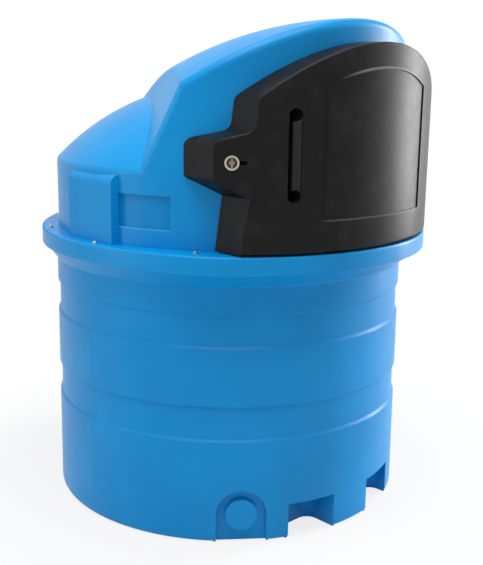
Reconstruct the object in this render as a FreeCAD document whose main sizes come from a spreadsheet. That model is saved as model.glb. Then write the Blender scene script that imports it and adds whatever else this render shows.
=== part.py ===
import FreeCAD, Part
import math
import os
from types import SimpleNamespace

import Sketcher
from FreeCAD import Placement, Rotation, Vector

# A round, bunded plastic tank with a pump cabinet under its hood.
# The frame: the origin is on the floor in the tank's axis, the door faces -Y and +Z is up.
# Every length is in millimetres and every angle in degrees.

SIZES = [
    # The bund, from its foot to its neck
    ("neck_radius", 694.0, "outer radius of the bund under its rim"),
    ("tub_draft", 6.0, "how much wider the bund is at the floor than at its neck"),
    ("neck_height", 945.0, "where the bund starts to flare into its rim"),
    ("tub_foot_round", 14.0, "rounding of the bund's bottom edge"),
    ("tub_wall", 8.0, "skin of the bund and the hood"),
    ("band_step", 8.0, "depth of the two sunk rings round the bund"),
    ("band_ledge", 9.0, "height of the slope at each edge of a sunk ring"),
    ("low_band_foot", 383.0, "lower edge of the lower sunk ring"),
    ("low_band_height", 134.0, "height of the lower sunk ring"),
    ("high_band_drop", 93.0, "from the neck down to the upper sunk ring"),
    ("high_band_height", 126.0, "height of the upper sunk ring"),
    # The rim where the hood sits on the bund
    ("flare_height", 61.0, "height of the flare under the rim"),
    ("skirt_height", 63.0, "height of the hood's skirt"),
    ("skirt_wall", 8.0, "thickness of the hood's skirt"),
    ("skirt_gap", 1.0, "room between the skirt and the bund's flange"),
    ("rim_reach", 65.0, "from the hood's wall out to the rim's edge"),
    ("rim_round", 9.0, "rounding of the rim's top edge"),
    ("sill_angle", 43.5, "from the door's middle round to the end of the wide rim"),
    ("sill_slope", 25.7, "how far the wide rim's ends turn in from its round"),
    ("landing_width", 60.0, "width of the bund's flat top flange"),
    ("seal_height", 5.0, "height of the seal under the hood's flange"),
    ("seal_width", 12.0, "width of the seal under the hood's flange"),
    ("seal_inset", 41.0, "from the flange's edge in to the middle of the seal"),
    ("bolt_inset", 21.0, "from the flange's edge in to the screws"),
    ("bolt_step", 32.0, "angle between the screws in the rim"),
    ("bolt_radius", 4.0, "radius of the rim's screws"),
    ("bolt_hole", 4.5, "radius of the holes for the rim's screws"),
    ("bolt_head_radius", 7.5, "radius of a rim screw's head"),
    ("bolt_head_height", 5.0, "height of a rim screw's head"),
    ("bolt_end", 3.0, "how far a screw stands out of its nut"),
    ("washer_radius", 11.0, "radius of a washer"),
    ("washer_height", 2.0, "thickness of a washer"),
    ("nut_radius", 7.5, "radius of a nut over its corners"),
    ("nut_height", 6.5, "height of a nut"),
    # The pockets for a fork lift and the drain recess
    ("fork_middle", 190.0, "from the tank's middle to the middle of a fork pocket"),
    ("fork_width", 190.0, "width of a fork pocket"),
    ("fork_height", 132.0, "height of a fork pocket"),
    ("fork_depth", 140.0, "how far a fork pocket reaches in"),
    ("fork_round", 45.0, "rounding of a fork pocket's inner upright edges"),
    ("drain_angle", 38.5, "from the door's middle round to the drain recess"),
    ("drain_half_width", 91.5, "half the width of the arched drain recess"),
    ("drain_crown", 107.5, "height where the recess's arch starts"),
    ("drain_depth", 24.0, "depth of the drain recess at its middle"),
    ("drain_boss_radius", 58.0, "radius of the round boss in the drain recess"),
    ("drain_boss_height", 105.0, "height of the boss's middle above the floor"),
    ("drain_boss_sink", 2.0, "how far the boss's face lies behind the bund's side"),
    # The inner tank
    ("tank_wall", 7.0, "skin of the inner tank"),
    ("tank_gap", 20.0, "room between the bund's skin and the inner tank"),
    ("tank_foot_gap", 17.0, "room between a fork pocket and the inner tank's foot"),
    ("tank_step_gap", 12.0, "from a fork pocket's skin up to the inner tank's step"),
    ("tank_shoulder", 110.0, "height of the slope from the inner tank's foot to its side"),
    ("tank_drop", 29.0, "from the rim's top down to the inner tank's flat top"),
    ("tank_crown_drop", 25.0, "height of the inner tank's sloping top edge"),
    ("tank_crown", 66.0, "width of the inner tank's sloping top edge"),
    ("manhole_radius", 200.0, "radius of the inspection opening"),
    ("manhole_back", 300.0, "from the tank's middle back to the inspection opening"),
    ("manhole_height", 30.0, "height of the collar round the inspection opening"),
    ("lid_skirt", 22.0, "height of the inspection lid's side"),
    ("lid_wall", 6.0, "thickness of the inspection lid"),
    ("vent_left", 220.0, "from the tank's middle left to the vent"),
    ("vent_back", 60.0, "from the tank's middle back to the vent and the probe"),
    ("vent_stem", 22.0, "radius of the vent's stem"),
    ("vent_cap", 36.0, "radius of the vent's cap"),
    ("vent_height", 26.0, "height of the vent's stem"),
    ("probe_right", 220.0, "from the tank's middle right to the level probe"),
    ("probe_radius", 7.0, "radius of the level probe's rod"),
    ("probe_head", 28.0, "radius of the level probe's head"),
    ("probe_head_height", 22.0, "height of the level probe's head"),
    # The hood's outer form
    ("neck_step", 9.0, "how far the hood's wall lies inside the bund's neck"),
    ("eave_height", 258.7, "from the rim up to where the wall meets the low dome"),
    ("dome_radius", 940.0, "radius of the low dome at the back"),
    ("roof_arch", 911.0, "radius of the cabinet roof from side to side"),
    ("roof_ridge", 1684.0, "radius of the cabinet roof from front to back"),
    ("roof_rise", 779.0, "from the rim up to the highest point of the cabinet roof"),
    ("roof_front", 622.0, "from the tank's middle forward to the highest point"),
    ("roof_spare", 75.0, "how far the roof's section reaches past the hood before it is trimmed"),
    ("roof_drop", 560.0, "from the highest point down to the foot of the roof's section"),
    ("roof_sweep", 90.0, "how far the roof's section is turned about its axis"),
    ("flank_turn", 30.5, "how far the roof's flat flanks turn in towards the back"),
    ("flank_lean", 23.15, "how far the flanks lean in from upright"),
    ("flank_reach", 499.0, "from the axis at the rim's height out to a flank, square to it"),
    ("flank_block", 4000.0, "size of the block that trims a flank"),
    ("hood_round", 30.0, "rounding of the cabinet roof's edges"),
    ("eave_round", 24.0, "rounding between the wall and the low dome"),
    ("pad_reach", 14.0, "from the hood's wall out to the flat pad on the left"),
    ("pad_front", 151.0, "from the tank's middle forward to the pad's front edge"),
    ("pad_back", 105.0, "from the tank's middle back to the pad's rear edge"),
    ("pad_height", 243.0, "from the rim up to the top of the flat pad"),
    ("pad_round", 34.0, "rounding of the pad's top edge"),
    ("panel_depth", 9.0, "depth of the sunk panel beside the pad"),
    ("panel_lift", 66.0, "from the rim up to the sunk panel"),
    ("panel_height", 115.0, "height of the sunk panel"),
    ("panel_angle", 68.6, "from the door's middle round to the sunk panel"),
    ("panel_sweep", 17.3, "sweep of the sunk panel"),
    ("panel_spare", 0.7, "how far the sunk panel's skin reaches past its hollow, as an angle"),
    # The cabinet
    ("cabinet_half", 405.0, "half the width of the cabinet"),
    ("cabinet_lift", 31.0, "from the rim up to the cabinet's floor"),
    ("cabinet_height", 605.0, "from the cabinet's floor to the top of its arch"),
    ("cabinet_arch", 614.0, "radius of the cabinet's arch"),
    ("cabinet_back", 160.0, "from the tank's middle forward to the back wall"),
    ("strip_height", 7.5, "thickness of the seal round the cabinet's opening"),
    ("strip_width", 24.0, "width of the seal round the cabinet's opening"),
    ("strip_gap", 0.5, "room between that seal and the door's edge"),
    # The door
    ("door_reach", 100.0, "from the hood's wall out to the door's face and the sill's edge"),
    ("door_wall", 6.0, "skin of the door"),
    ("door_lift", 6.0, "room between the rim and the door"),
    ("door_height", 694.0, "height of the door"),
    ("door_foot_half", 506.0, "half the door's width at its lower edge"),
    ("door_shoulder_half", 463.0, "half the door's width where the arch starts"),
    ("door_arch", 674.0, "radius of the door's arch"),
    ("door_corner", 34.0, "rounding of the door's upper corners"),
    ("door_edge", 9.0, "rounding round the door's face"),
    ("tab_side", 573.0, "from the tank's middle to the lock tab's outer edge"),
    ("tab_top_rise", 373.0, "from the door's foot to the tab's upper outer corner"),
    ("tab_top_root_rise", 406.0, "from the door's foot to the root of the tab's upper edge"),
    ("tab_foot_rise", 246.0, "from the door's foot to the tab's lower outer corner"),
    ("tab_foot_root_rise", 187.0, "from the door's foot to the root of the tab's lower edge"),
    ("tab_corner", 20.0, "rounding of the lock tab's corners"),
    ("inset_half", 262.0, "half the width of the sunk panel in the door"),
    ("inset_lift", 110.0, "from the door's foot to its sunk panel"),
    ("inset_margin", 86.0, "from the sunk panel's arch to the top of the door"),
    ("inset_depth", 5.0, "depth of the door's sunk panel"),
    ("grip_middle", 360.0, "from the tank's middle to the handle recess"),
    ("grip_foot_rise", 193.0, "from the door's foot to the handle's lower pit"),
    ("grip_top_rise", 457.0, "from the door's foot to the handle's upper pit"),
    ("grip_pit_radius", 21.0, "radius of the handle's round pits"),
    ("grip_slot", 11.0, "width of the finger slot"),
    ("grip_depth", 26.0, "depth of the finger slot"),
    ("grip_bar_depth", 4.0, "how far the grip bar lies below the door's face"),
    # The lock in the door's tab
    ("lock_angle", 42.5, "from the door's middle round to the lock"),
    ("lock_lift", 304.0, "from the door's foot to the lock"),
    ("lock_seat", 1.0, "depth of the flat that the lock's ring lies on"),
    ("lock_ring_radius", 24.0, "outer radius of the lock's ring"),
    ("lock_ring_bore", 17.0, "inner radius of the lock's ring"),
    ("lock_ring_height", 5.0, "thickness of the lock's ring"),
    ("lock_floor", 1.0, "thickness of the plate inside the lock's ring"),
    ("lock_sleeve_radius", 13.0, "outer radius of the lock's threaded sleeve"),
    ("lock_sleeve_length", 26.0, "length of the lock's threaded sleeve"),
    ("lock_nut_height", 8.0, "height of the lock's nut"),
    ("lock_nut_radius", 19.0, "outer radius of the lock's nut"),
    ("lock_barrel_radius", 9.0, "radius of the turning barrel"),
    ("lock_barrel_length", 46.0, "length of the turning barrel"),
    ("lock_grip_width", 6.0, "width of the bar across the lock's ring"),
    ("lock_cam_thick", 4.0, "thickness of the lock's cam"),
    ("lock_cam_width", 14.0, "width of the lock's cam"),
    ("lock_cam_length", 40.0, "from the lock's axis to the cam's tip"),
    ("lock_slot_offset", 36.0, "from the lock to the middle of the slot beside it"),
    ("lock_slot_length", 26.0, "length of the slot beside the lock"),
    ("lock_slot_height", 12.0, "height of the slot beside the lock"),
    ("lock_slot_depth", 3.5, "depth of the slot beside the lock"),
    ("keeper_width", 30.0, "height of the keeper's plate"),
    ("keeper_thick", 4.0, "thickness of the keeper's plate"),
    ("keeper_foot", 26.0, "length of the keeper's foot on the wall"),
    ("keeper_gap", 2.0, "room between the cam and the keeper"),
    ("running", 0.05, "radial clearance of a shaft in its bore"),
    ("loose", 0.3, "room between pieces that move past each other"),
    # The hinges on the door's right
    ("hinge_reach", 45.0, "from the hood's wall out to the hinge's axis"),
    ("hinge_angle", 47.0, "from the door's middle round to the hinge's axis"),
    ("hinge_low_rise", 125.0, "from the door's foot to the lower hinge"),
    ("hinge_high_rise", 365.0, "from the door's foot to the upper hinge"),
    ("lug_radius", 14.0, "radius of a hinge lug round its pin"),
    ("lug_height", 40.0, "height of the door's hinge lug"),
    ("lug_root", 50.0, "depth of a hinge lug where it leaves the door"),
    ("ear_height", 10.0, "height of a bracket's ear"),
    ("ear_width", 18.0, "width of a bracket's ear where it leaves the base"),
    ("hinge_pin_radius", 5.0, "radius of a hinge pin"),
    ("pin_head", 3.0, "height and overhang of a hinge pin's head"),
    ("bracket_base", 12.0, "thickness of a hinge bracket's base"),
    ("bracket_sweep", 12.0, "sweep of a hinge bracket's base round the wall"),
    ("bracket_lead", 0.5, "angle from the start of a bracket's base to the hinge's axis"),
    ("bracket_screw_angle", 7.5, "angle from the hinge's axis to the bracket's screws"),
    ("bracket_screw_rise", 18.0, "from a hinge's middle up or down to its screws"),
    ("screw_radius", 3.0, "radius of the small screws"),
    ("screw_head_radius", 5.5, "radius of a small screw's head"),
    ("screw_head_height", 3.0, "height of a small screw's head"),
    # The pump and its pipework on the cabinet's back wall
    ("pump_line", 80.0, "from the cabinet's back wall to the middle of the pump"),
    ("shelf_lift", 240.0, "from the cabinet's floor up to the top of the pump's shelf"),
    ("shelf_thick", 4.0, "plate of the pump's shelf"),
    ("shelf_half", 135.0, "half the width of the pump's shelf"),
    ("shelf_depth", 140.0, "depth of the pump's shelf"),
    ("shelf_back", 90.0, "height of the shelf's back plate"),
    ("shelf_bolt_side", 105.0, "from the tank's middle to the shelf's bolts"),
    ("shelf_bolt_drop", 25.0, "from the shelf down to its upper bolts"),
    ("shelf_bolt_step", 42.0, "between the shelf's upper and lower bolts"),
    ("head_left", 120.0, "from the tank's middle to the pump head's left face"),
    ("head_width", 100.0, "width and depth of the pump head"),
    ("head_height", 110.0, "height of the pump head"),
    ("head_round", 10.0, "rounding of the pump head"),
    ("motor_radius", 50.0, "radius of the pump's motor"),
    ("motor_length", 140.0, "length of the pump's motor"),
    ("fin_step", 16.0, "spacing of the motor's cooling fins"),
    ("fin_width", 4.0, "thickness and height of a cooling fin"),
    ("foot_lead", 30.0, "from the motor's front to its foot"),
    ("cover_length", 30.0, "length of the motor's end cover"),
    ("cover_slope", 10.0, "sloping edge of the motor's end cover"),
    ("box_height", 45.0, "height of the terminal box"),
    ("box_width", 80.0, "width of the terminal box"),
    ("box_depth", 70.0, "depth of the terminal box"),
    ("box_round", 6.0, "rounding of the terminal box"),
    ("switch_radius", 14.0, "radius of the pump's switch"),
    ("switch_height", 7.0, "thickness of the switch's disc and of its bar"),
    ("spindle_radius", 4.0, "radius of the switch's spindle"),
    ("spindle_length", 10.0, "length of the switch's spindle"),
    ("nipple_radius", 12.0, "radius of the pump's nipples"),
    ("nipple_length", 30.0, "length of the inlet nipple"),
    ("filter_width", 80.0, "width and depth of the filter's head"),
    ("filter_height", 46.0, "height of the filter's head"),
    ("filter_round", 12.0, "rounding of the filter's head"),
    ("bowl_radius", 36.0, "radius of the filter's bowl"),
    ("bowl_length", 110.0, "length of the filter's bowl"),
    ("bowl_slope", 18.0, "sloping lower edge of the filter's bowl"),
    ("suction_radius", 13.0, "outer radius of the suction pipe"),
    ("pipe_wall", 2.0, "wall of the pipes"),
    ("pipe_gap", 2.0, "room round a pipe where it passes a floor"),
    ("suction_left", 300.0, "from the tank's middle to the suction pipe"),
    ("suction_bend", 45.0, "radius of the suction pipe's bend"),
    ("suction_foot", 70.0, "height of the suction pipe's lower end"),
    ("valve_radius", 24.0, "radius of the foot valve"),
    ("valve_height", 60.0, "height of the foot valve"),
    ("valve_slope", 8.0, "sloping lower edge of the foot valve"),
    ("meter_width", 90.0, "width of the flow meter"),
    ("meter_depth", 80.0, "depth of the flow meter"),
    ("meter_height", 90.0, "height of the flow meter"),
    ("meter_round", 12.0, "rounding of the flow meter"),
    ("display_width", 60.0, "width of the meter's display"),
    ("display_height", 32.0, "height of the meter's display"),
    ("display_lift", 46.0, "from the meter's foot up to its display"),
    ("display_thick", 2.0, "thickness of the display windows"),
    ("outlet_length", 25.0, "length of the outlet nipple"),
    ("elbow_bend", 28.0, "radius of the outlet elbow"),
    ("elbow_rise", 8.0, "straight foot of the outlet elbow"),
    ("elbow_run", 30.0, "straight end of the outlet elbow"),
    ("tail_radius", 9.5, "radius of the hose tail"),
    ("tail_length", 45.0, "length of the hose tail"),
    ("tail_collar", 8.0, "length of the hose tail's collar"),
    ("tail_collar_radius", 14.0, "radius of the hose tail's collar"),
    # The filling pipe
    ("fill_right", 345.0, "from the tank's middle to the filling pipe"),
    ("fill_radius", 25.0, "outer radius of the filling pipe"),
    ("fill_lift", 90.0, "from the cabinet's floor up to the filling pipe's mouth"),
    ("fill_gap", 45.0, "from the cabinet's back wall forward to the filling pipe"),
    ("coupling_radius", 32.0, "radius of the filling coupling"),
    ("coupling_length", 30.0, "length of the filling coupling"),
    ("cap_radius", 29.0, "radius of the filling cap"),
    ("cap_length", 14.0, "length of the filling cap"),
    ("cap_bar", 8.0, "width and height of the bar on the filling cap"),
    # The gauge and the cable entry
    ("gauge_right", 150.0, "from the tank's middle to the middle of the gauge"),
    ("gauge_lift", 460.0, "from the cabinet's floor up to the gauge"),
    ("gauge_width", 110.0, "width of the gauge"),
    ("gauge_height", 70.0, "height of the gauge"),
    ("gauge_depth", 30.0, "depth of the gauge"),
    ("gauge_round", 8.0, "rounding of the gauge"),
    ("window_width", 70.0, "width of the gauge's window"),
    ("window_height", 36.0, "height of the gauge's window"),
    ("gland_angle", 150.0, "from the door's middle round to the cable entry"),
    ("gland_lift", 80.0, "from the rim up to the cable entry"),
    ("gland_bore", 5.0, "radius of the cable entry's bore"),
    ("gland_thread", 10.0, "radius of the gland's thread"),
    ("gland_radius", 14.0, "radius of the gland's head and nut"),
    ("gland_length", 22.0, "length of the gland's head"),
    ("gland_nut_height", 7.0, "height of the gland's nut"),
    ("gland_end", 4.0, "how far the gland stands out of its nut"),
    ("cut_spare", 20.0, "how far a cut runs past an open edge"),
]


class Size:
    """A length or an angle, kept with its formula in the names of the sheet."""

    def __init__(self, value, text):
        self.value = value
        self.text = text

    def __add__(self, other):
        other = as_size(other)
        return Size(self.value + other.value, "(%s + %s)" % (self.text, other.text))

    def __sub__(self, other):
        other = as_size(other)
        return Size(self.value - other.value, "(%s - %s)" % (self.text, other.text))

    def __mul__(self, other):
        other = as_size(other)
        return Size(self.value * other.value, "(%s * %s)" % (self.text, other.text))

    def __truediv__(self, other):
        other = as_size(other)
        return Size(self.value / other.value, "(%s / %s)" % (self.text, other.text))

    def __neg__(self):
        return Size(-self.value, "(0 - %s)" % self.text)

    def __radd__(self, other):
        return as_size(other) + self

    def __rsub__(self, other):
        return as_size(other) - self

    def __rmul__(self, other):
        return as_size(other) * self


def as_size(number):
    """A plain number as a Size; a Size stays as it is."""
    if isinstance(number, Size):
        return number
    return Size(float(number), repr(float(number)))


def root(size):
    return Size(math.sqrt(size.value), "sqrt(%s)" % size.text)


def sine(angle):
    angle = as_size(angle)
    return Size(math.sin(math.radians(angle.value)), "sin(%s)" % angle.text)


def cosine(angle):
    angle = as_size(angle)
    return Size(math.cos(math.radians(angle.value)), "cos(%s)" % angle.text)


def make_sheet(document):
    """Write the driving sizes into the sheet and give each one back under its name."""
    sheet = document.addObject("Spreadsheet::Sheet", "Sizes")
    named = {}
    for row, (alias, value, meaning) in enumerate(SIZES, start=1):
        sheet.set("A%d" % row, meaning)
        sheet.set("B%d" % row, repr(value))
        sheet.setAlias("B%d" % row, alias)
        named[alias] = Size(value, "Sizes." + alias)
    return SimpleNamespace(**named)


doc = FreeCAD.newDocument("RoundTank")
s = make_sheet(doc)
doc.recompute()

# Radii and heights that follow from the sizes in the sheet
s.tub_foot_radius = s.neck_radius + s.tub_draft
s.low_band_top = s.low_band_foot + s.low_band_height
s.high_band_top = s.neck_height - s.high_band_drop
s.high_band_foot = s.high_band_top - s.high_band_height
s.rim_foot = s.neck_height + s.flare_height
s.rim_top = s.rim_foot + s.skirt_height
s.hood_radius = s.neck_radius - s.neck_step
s.rim_radius = s.hood_radius + s.rim_reach
s.sill_radius = s.hood_radius + s.door_reach
s.rim_bolt_radius = s.rim_radius - s.skirt_wall - s.skirt_gap - s.bolt_inset
s.fork_back = s.tub_foot_radius - s.fork_depth
s.tank_radius = s.neck_radius - s.tub_wall - s.tank_gap
s.tank_foot_radius = s.fork_back - s.tub_wall - s.tank_foot_gap
s.tank_foot_height = s.fork_height + s.tub_wall + s.tank_step_gap
s.tank_shoulder_height = s.tank_foot_height + s.tank_shoulder
s.tank_top = s.rim_top - s.tank_drop
s.tank_side_top = s.tank_top - s.tank_crown_drop
s.tank_crown_radius = s.tank_radius - s.tank_crown
s.eave_rise = root(s.dome_radius * s.dome_radius - s.hood_radius * s.hood_radius)
s.dome_centre = s.rim_top + s.eave_height - s.eave_rise
s.roof_top = s.rim_top + s.roof_rise
s.pad_face = s.hood_radius + s.pad_reach
s.pad_top = s.rim_top + s.pad_height
s.panel_foot = s.rim_top + s.panel_lift
s.panel_top = s.panel_foot + s.panel_height
s.cabinet_floor = s.rim_top + s.cabinet_lift
s.cabinet_top = s.cabinet_floor + s.cabinet_height
s.door_face = s.hood_radius + s.door_reach
s.door_rear = s.hood_radius + s.strip_height + s.strip_gap
s.door_foot = s.rim_top + s.door_lift
s.door_top = s.door_foot + s.door_height
s.tab_top = s.door_foot + s.tab_top_rise
s.tab_top_root = s.door_foot + s.tab_top_root_rise
s.tab_foot = s.door_foot + s.tab_foot_rise
s.tab_foot_root = s.door_foot + s.tab_foot_root_rise
s.inset_foot = s.door_foot + s.inset_lift
s.inset_top = s.door_top - s.inset_margin
s.grip_foot = s.door_foot + s.grip_foot_rise
s.grip_top = s.door_foot + s.grip_top_rise
s.lock_height = s.door_foot + s.lock_lift
s.hinge_radius = s.hood_radius + s.hinge_reach
s.hinge_low = s.door_foot + s.hinge_low_rise
s.hinge_high = s.door_foot + s.hinge_high_rise
s.shelf_height = s.cabinet_floor + s.shelf_lift

# The room that the rings and trimming tools span, from under the rim to over the roof
span_foot = s.rim_foot
span_height = s.skirt_height + s.roof_rise

UP = Vector(0, 0, 1)
FRONT = Vector(0, -1, 0)
FLAT = Placement()
FACING_FRONT = Placement(Vector(), Rotation(Vector(1, 0, 0), 90))

nodes = []


def keep(item, label):
    """Name a finished sub-part; its label is also its file's name."""
    item.Label = label
    nodes.append(item)
    return item


def bind(item, name, size):
    """Tie one property of an object to the sheet."""
    item.setExpression(name, as_size(size).text)


def bind_place(item, x, y, z):
    for axis, size in zip("xyz", (x, y, z)):
        bind(item, "Placement.Base." + axis, size)


def arc_through(start, end, radius):
    """The short arc between two points; a positive radius bulges to the right of the line."""
    chord = end.sub(start)
    half = chord.Length / 2.0
    rise = math.sqrt(max(radius * radius - half * half, 0.0))
    left = Vector(-chord.y, chord.x, 0).normalize()
    side = 1.0 if radius > 0 else -1.0
    centre = start.add(end).multiply(0.5).add(left * (side * rise))
    middle = centre.sub(left * (side * abs(radius)))
    return Part.Arc(start, middle, end)


def fill_sketch(sketch, corners, arcs):
    """Close an outline through the corners, each held by the sheet."""
    points = [Vector(x.value, y.value, 0) for x, y in corners]
    count = len(points)
    turned_ends = []
    for i, start in enumerate(points):
        end = points[(i + 1) % count]
        if i in arcs:
            curve = arc_through(start, end, arcs[i].value)
            sketch.addGeometry(curve, False)
            drawn = sketch.Geometry[i]
            first = drawn.StartPoint
            turned_ends.append(first.distanceToPoint(start) > 1e-6)
        else:
            sketch.addGeometry(Part.LineSegment(start, end), False)
            turned_ends.append(False)
    for i in range(count):
        j = (i + 1) % count
        tail = 1 if turned_ends[i] else 2
        head = 2 if turned_ends[j] else 1
        sketch.addConstraint(Sketcher.Constraint("Coincident", i, tail, j, head))
    for i, (x, y) in enumerate(corners):
        head = 2 if turned_ends[i] else 1
        for kind, size in (("DistanceX", x), ("DistanceY", y)):
            held = Sketcher.Constraint(kind, -1, 1, i, head, size.value)
            index = sketch.addConstraint(held)
            sketch.setExpression("Constraints[%d]" % index, size.text)
    for i, radius in arcs.items():
        size = radius if radius.value > 0 else -radius
        half_chord = points[i].distanceToPoint(points[(i + 1) % count]) / 2.0
        if abs(half_chord - size.value) < 1e-6:
            size = corners[i][1]
            held = Sketcher.Constraint("DistanceY", -1, 1, i, 3, size.value)
        else:
            held = Sketcher.Constraint("Radius", i, size.value)
        index = sketch.addConstraint(held)
        sketch.setExpression("Constraints[%d]" % index, size.text)


def sizes_of(corners):
    return [(as_size(x), as_size(y)) for x, y in corners]


def outline(name, corners, arcs=None, place=FLAT):
    """A sketch that stands by itself, at its own place."""
    sketch = doc.addObject("Sketcher::SketchObject", name)
    sketch.Placement = place
    fill_sketch(sketch, sizes_of(corners), arcs or {})
    return sketch


def plane_of(body, role):
    return [item for item in body.Origin.OriginFeatures if item.Role == role][0]


def body_sketch(body, name, role, corners, arcs=None, offset=None):
    """A sketch on one of a body's own origin planes."""
    sketch = body.newObject("Sketcher::SketchObject", name)
    sketch.AttachmentSupport = [(plane_of(body, role), "")]
    sketch.MapMode = "FlatFace"
    if offset is not None:
        sketch.AttachmentOffset = offset
    fill_sketch(sketch, sizes_of(corners), arcs or {})
    return sketch


def turned(name, corners, arcs=None, sweep=360.0, middle=0.0, axis=UP, centre=None, place=FACING_FRONT):
    """A half section turned round an axis, its sweep split evenly about its own plane."""
    turn = doc.addObject("Part::Revolution", name)
    turn.Source = outline(name + "_section", corners, arcs, place)
    turn.Axis = axis
    turn.Base = centre or Vector()
    turn.Solid = True
    turn.Symmetric = True
    bind(turn, "Angle", sweep)
    turn.Placement = Placement(Vector(), Rotation(UP, as_size(middle).value))
    return turn


def prism(name, corners, near, far, arcs=None):
    """An upright outline seen from the front, drawn out forward from one depth to another."""
    drawn = doc.addObject("Part::Extrusion", name)
    sketch = outline(name + "_outline", corners, arcs, FACING_FRONT)
    bind(sketch, "Placement.Base.y", -as_size(near))
    drawn.Base = sketch
    drawn.DirMode = "Custom"
    drawn.Dir = FRONT
    drawn.Solid = True
    bind(drawn, "LengthFwd", as_size(far) - near)
    return drawn


def drum(name, radius, height, x=0, y=0, z=0, turn=None):
    item = doc.addObject("Part::Cylinder", name)
    bind(item, "Radius", radius)
    bind(item, "Height", height)
    if turn is not None:
        item.Placement = Placement(Vector(), turn)
    bind_place(item, x, y, z)
    return item


def block(name, across, deep, high, x=0, y=0, z=0):
    """A box from its low corner."""
    item = doc.addObject("Part::Box", name)
    bind(item, "Length", across)
    bind(item, "Width", deep)
    bind(item, "Height", high)
    bind_place(item, x, y, z)
    return item


def fuse(name, *parts):
    item = doc.addObject("Part::MultiFuse", name)
    item.Shapes = list(parts)
    item.Refine = True
    return item


def common(name, *parts):
    item = doc.addObject("Part::MultiCommon", name)
    item.Shapes = list(parts)
    return item


def cut(name, base, *tools):
    item = doc.addObject("Part::Cut", name)
    item.Base = base
    item.Tool = tools[0] if len(tools) == 1 else fuse(name + "_tools", *tools)
    item.Refine = True
    return item


def group(name, *parts):
    """Parts that move as one but stay separate solids."""
    item = doc.addObject("Part::Compound", name)
    item.Links = list(parts)
    return item


def rounded(name, base, radius, wanted):
    """Round the edges that the test picks."""
    doc.recompute()
    item = doc.addObject("Part::Fillet", name)
    item.Base = base
    size = as_size(radius).value
    item.Edges = [(i, size, size) for i, edge in enumerate(base.Shape.Edges, start=1) if wanted(edge)]
    return item


def runs_along(edge, direction):
    """True for a straight edge that is parallel to the direction."""
    if not isinstance(edge.Curve, Part.Line):
        return False
    return edge.Curve.Direction.cross(direction).Length < 1e-6


def turn_from_front(angle):
    """The turn about the tank's axis that carries the front round to an angle."""
    return Rotation(UP, as_size(angle).value)


# The bund: one moulded skin with two sunk rings, four fork pockets and a drain recess

def tub_side(inset):
    """The bund's side from the floor up, drawn in by an inset all along."""
    slope = (s.tub_foot_radius - s.neck_radius) / s.neck_height

    def proud(height):
        return s.tub_foot_radius - slope * height - inset

    def sunk(height):
        return proud(height) - s.band_step

    line = []
    for foot, top in ((s.low_band_foot, s.low_band_top), (s.high_band_foot, s.high_band_top)):
        line += [
            (proud(foot), foot),
            (sunk(foot), foot + s.band_ledge),
            (sunk(top), top - s.band_ledge),
            (proud(top), top),
        ]
    return line + [(s.neck_radius - inset, s.neck_height)]


flange_radius = s.rim_radius - s.skirt_wall - s.skirt_gap
flange_top = s.rim_top - s.tub_wall - s.seal_height
landing_radius = flange_radius - s.landing_width


sill_sweep = s.sill_angle * 2 + s.sill_slope


def rim_ends(name, base, inset):
    """Trim the wider rim under the door by one upright plane at each end, drawn in by an inset."""
    size = s.flank_block.value
    reach = (s.sill_radius * cosine(s.sill_slope) - inset).value
    blocks = []
    for side in (-1, 1):
        turn = Rotation(UP, side * (s.sill_angle.value + s.sill_slope.value - 90))
        item = doc.addObject("Part::Box", "%s_end_%d" % (name, side + 2))
        bind(item, "Length", s.flank_block)
        bind(item, "Width", s.flank_block)
        bind(item, "Height", s.flank_block)
        corner = Vector(reach if side > 0 else -reach - size, -size / 2, -size / 2)
        item.Placement = Placement(turn.multVec(corner), turn)
        blocks.append(item)
    return cut(name, base, *blocks)


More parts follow.
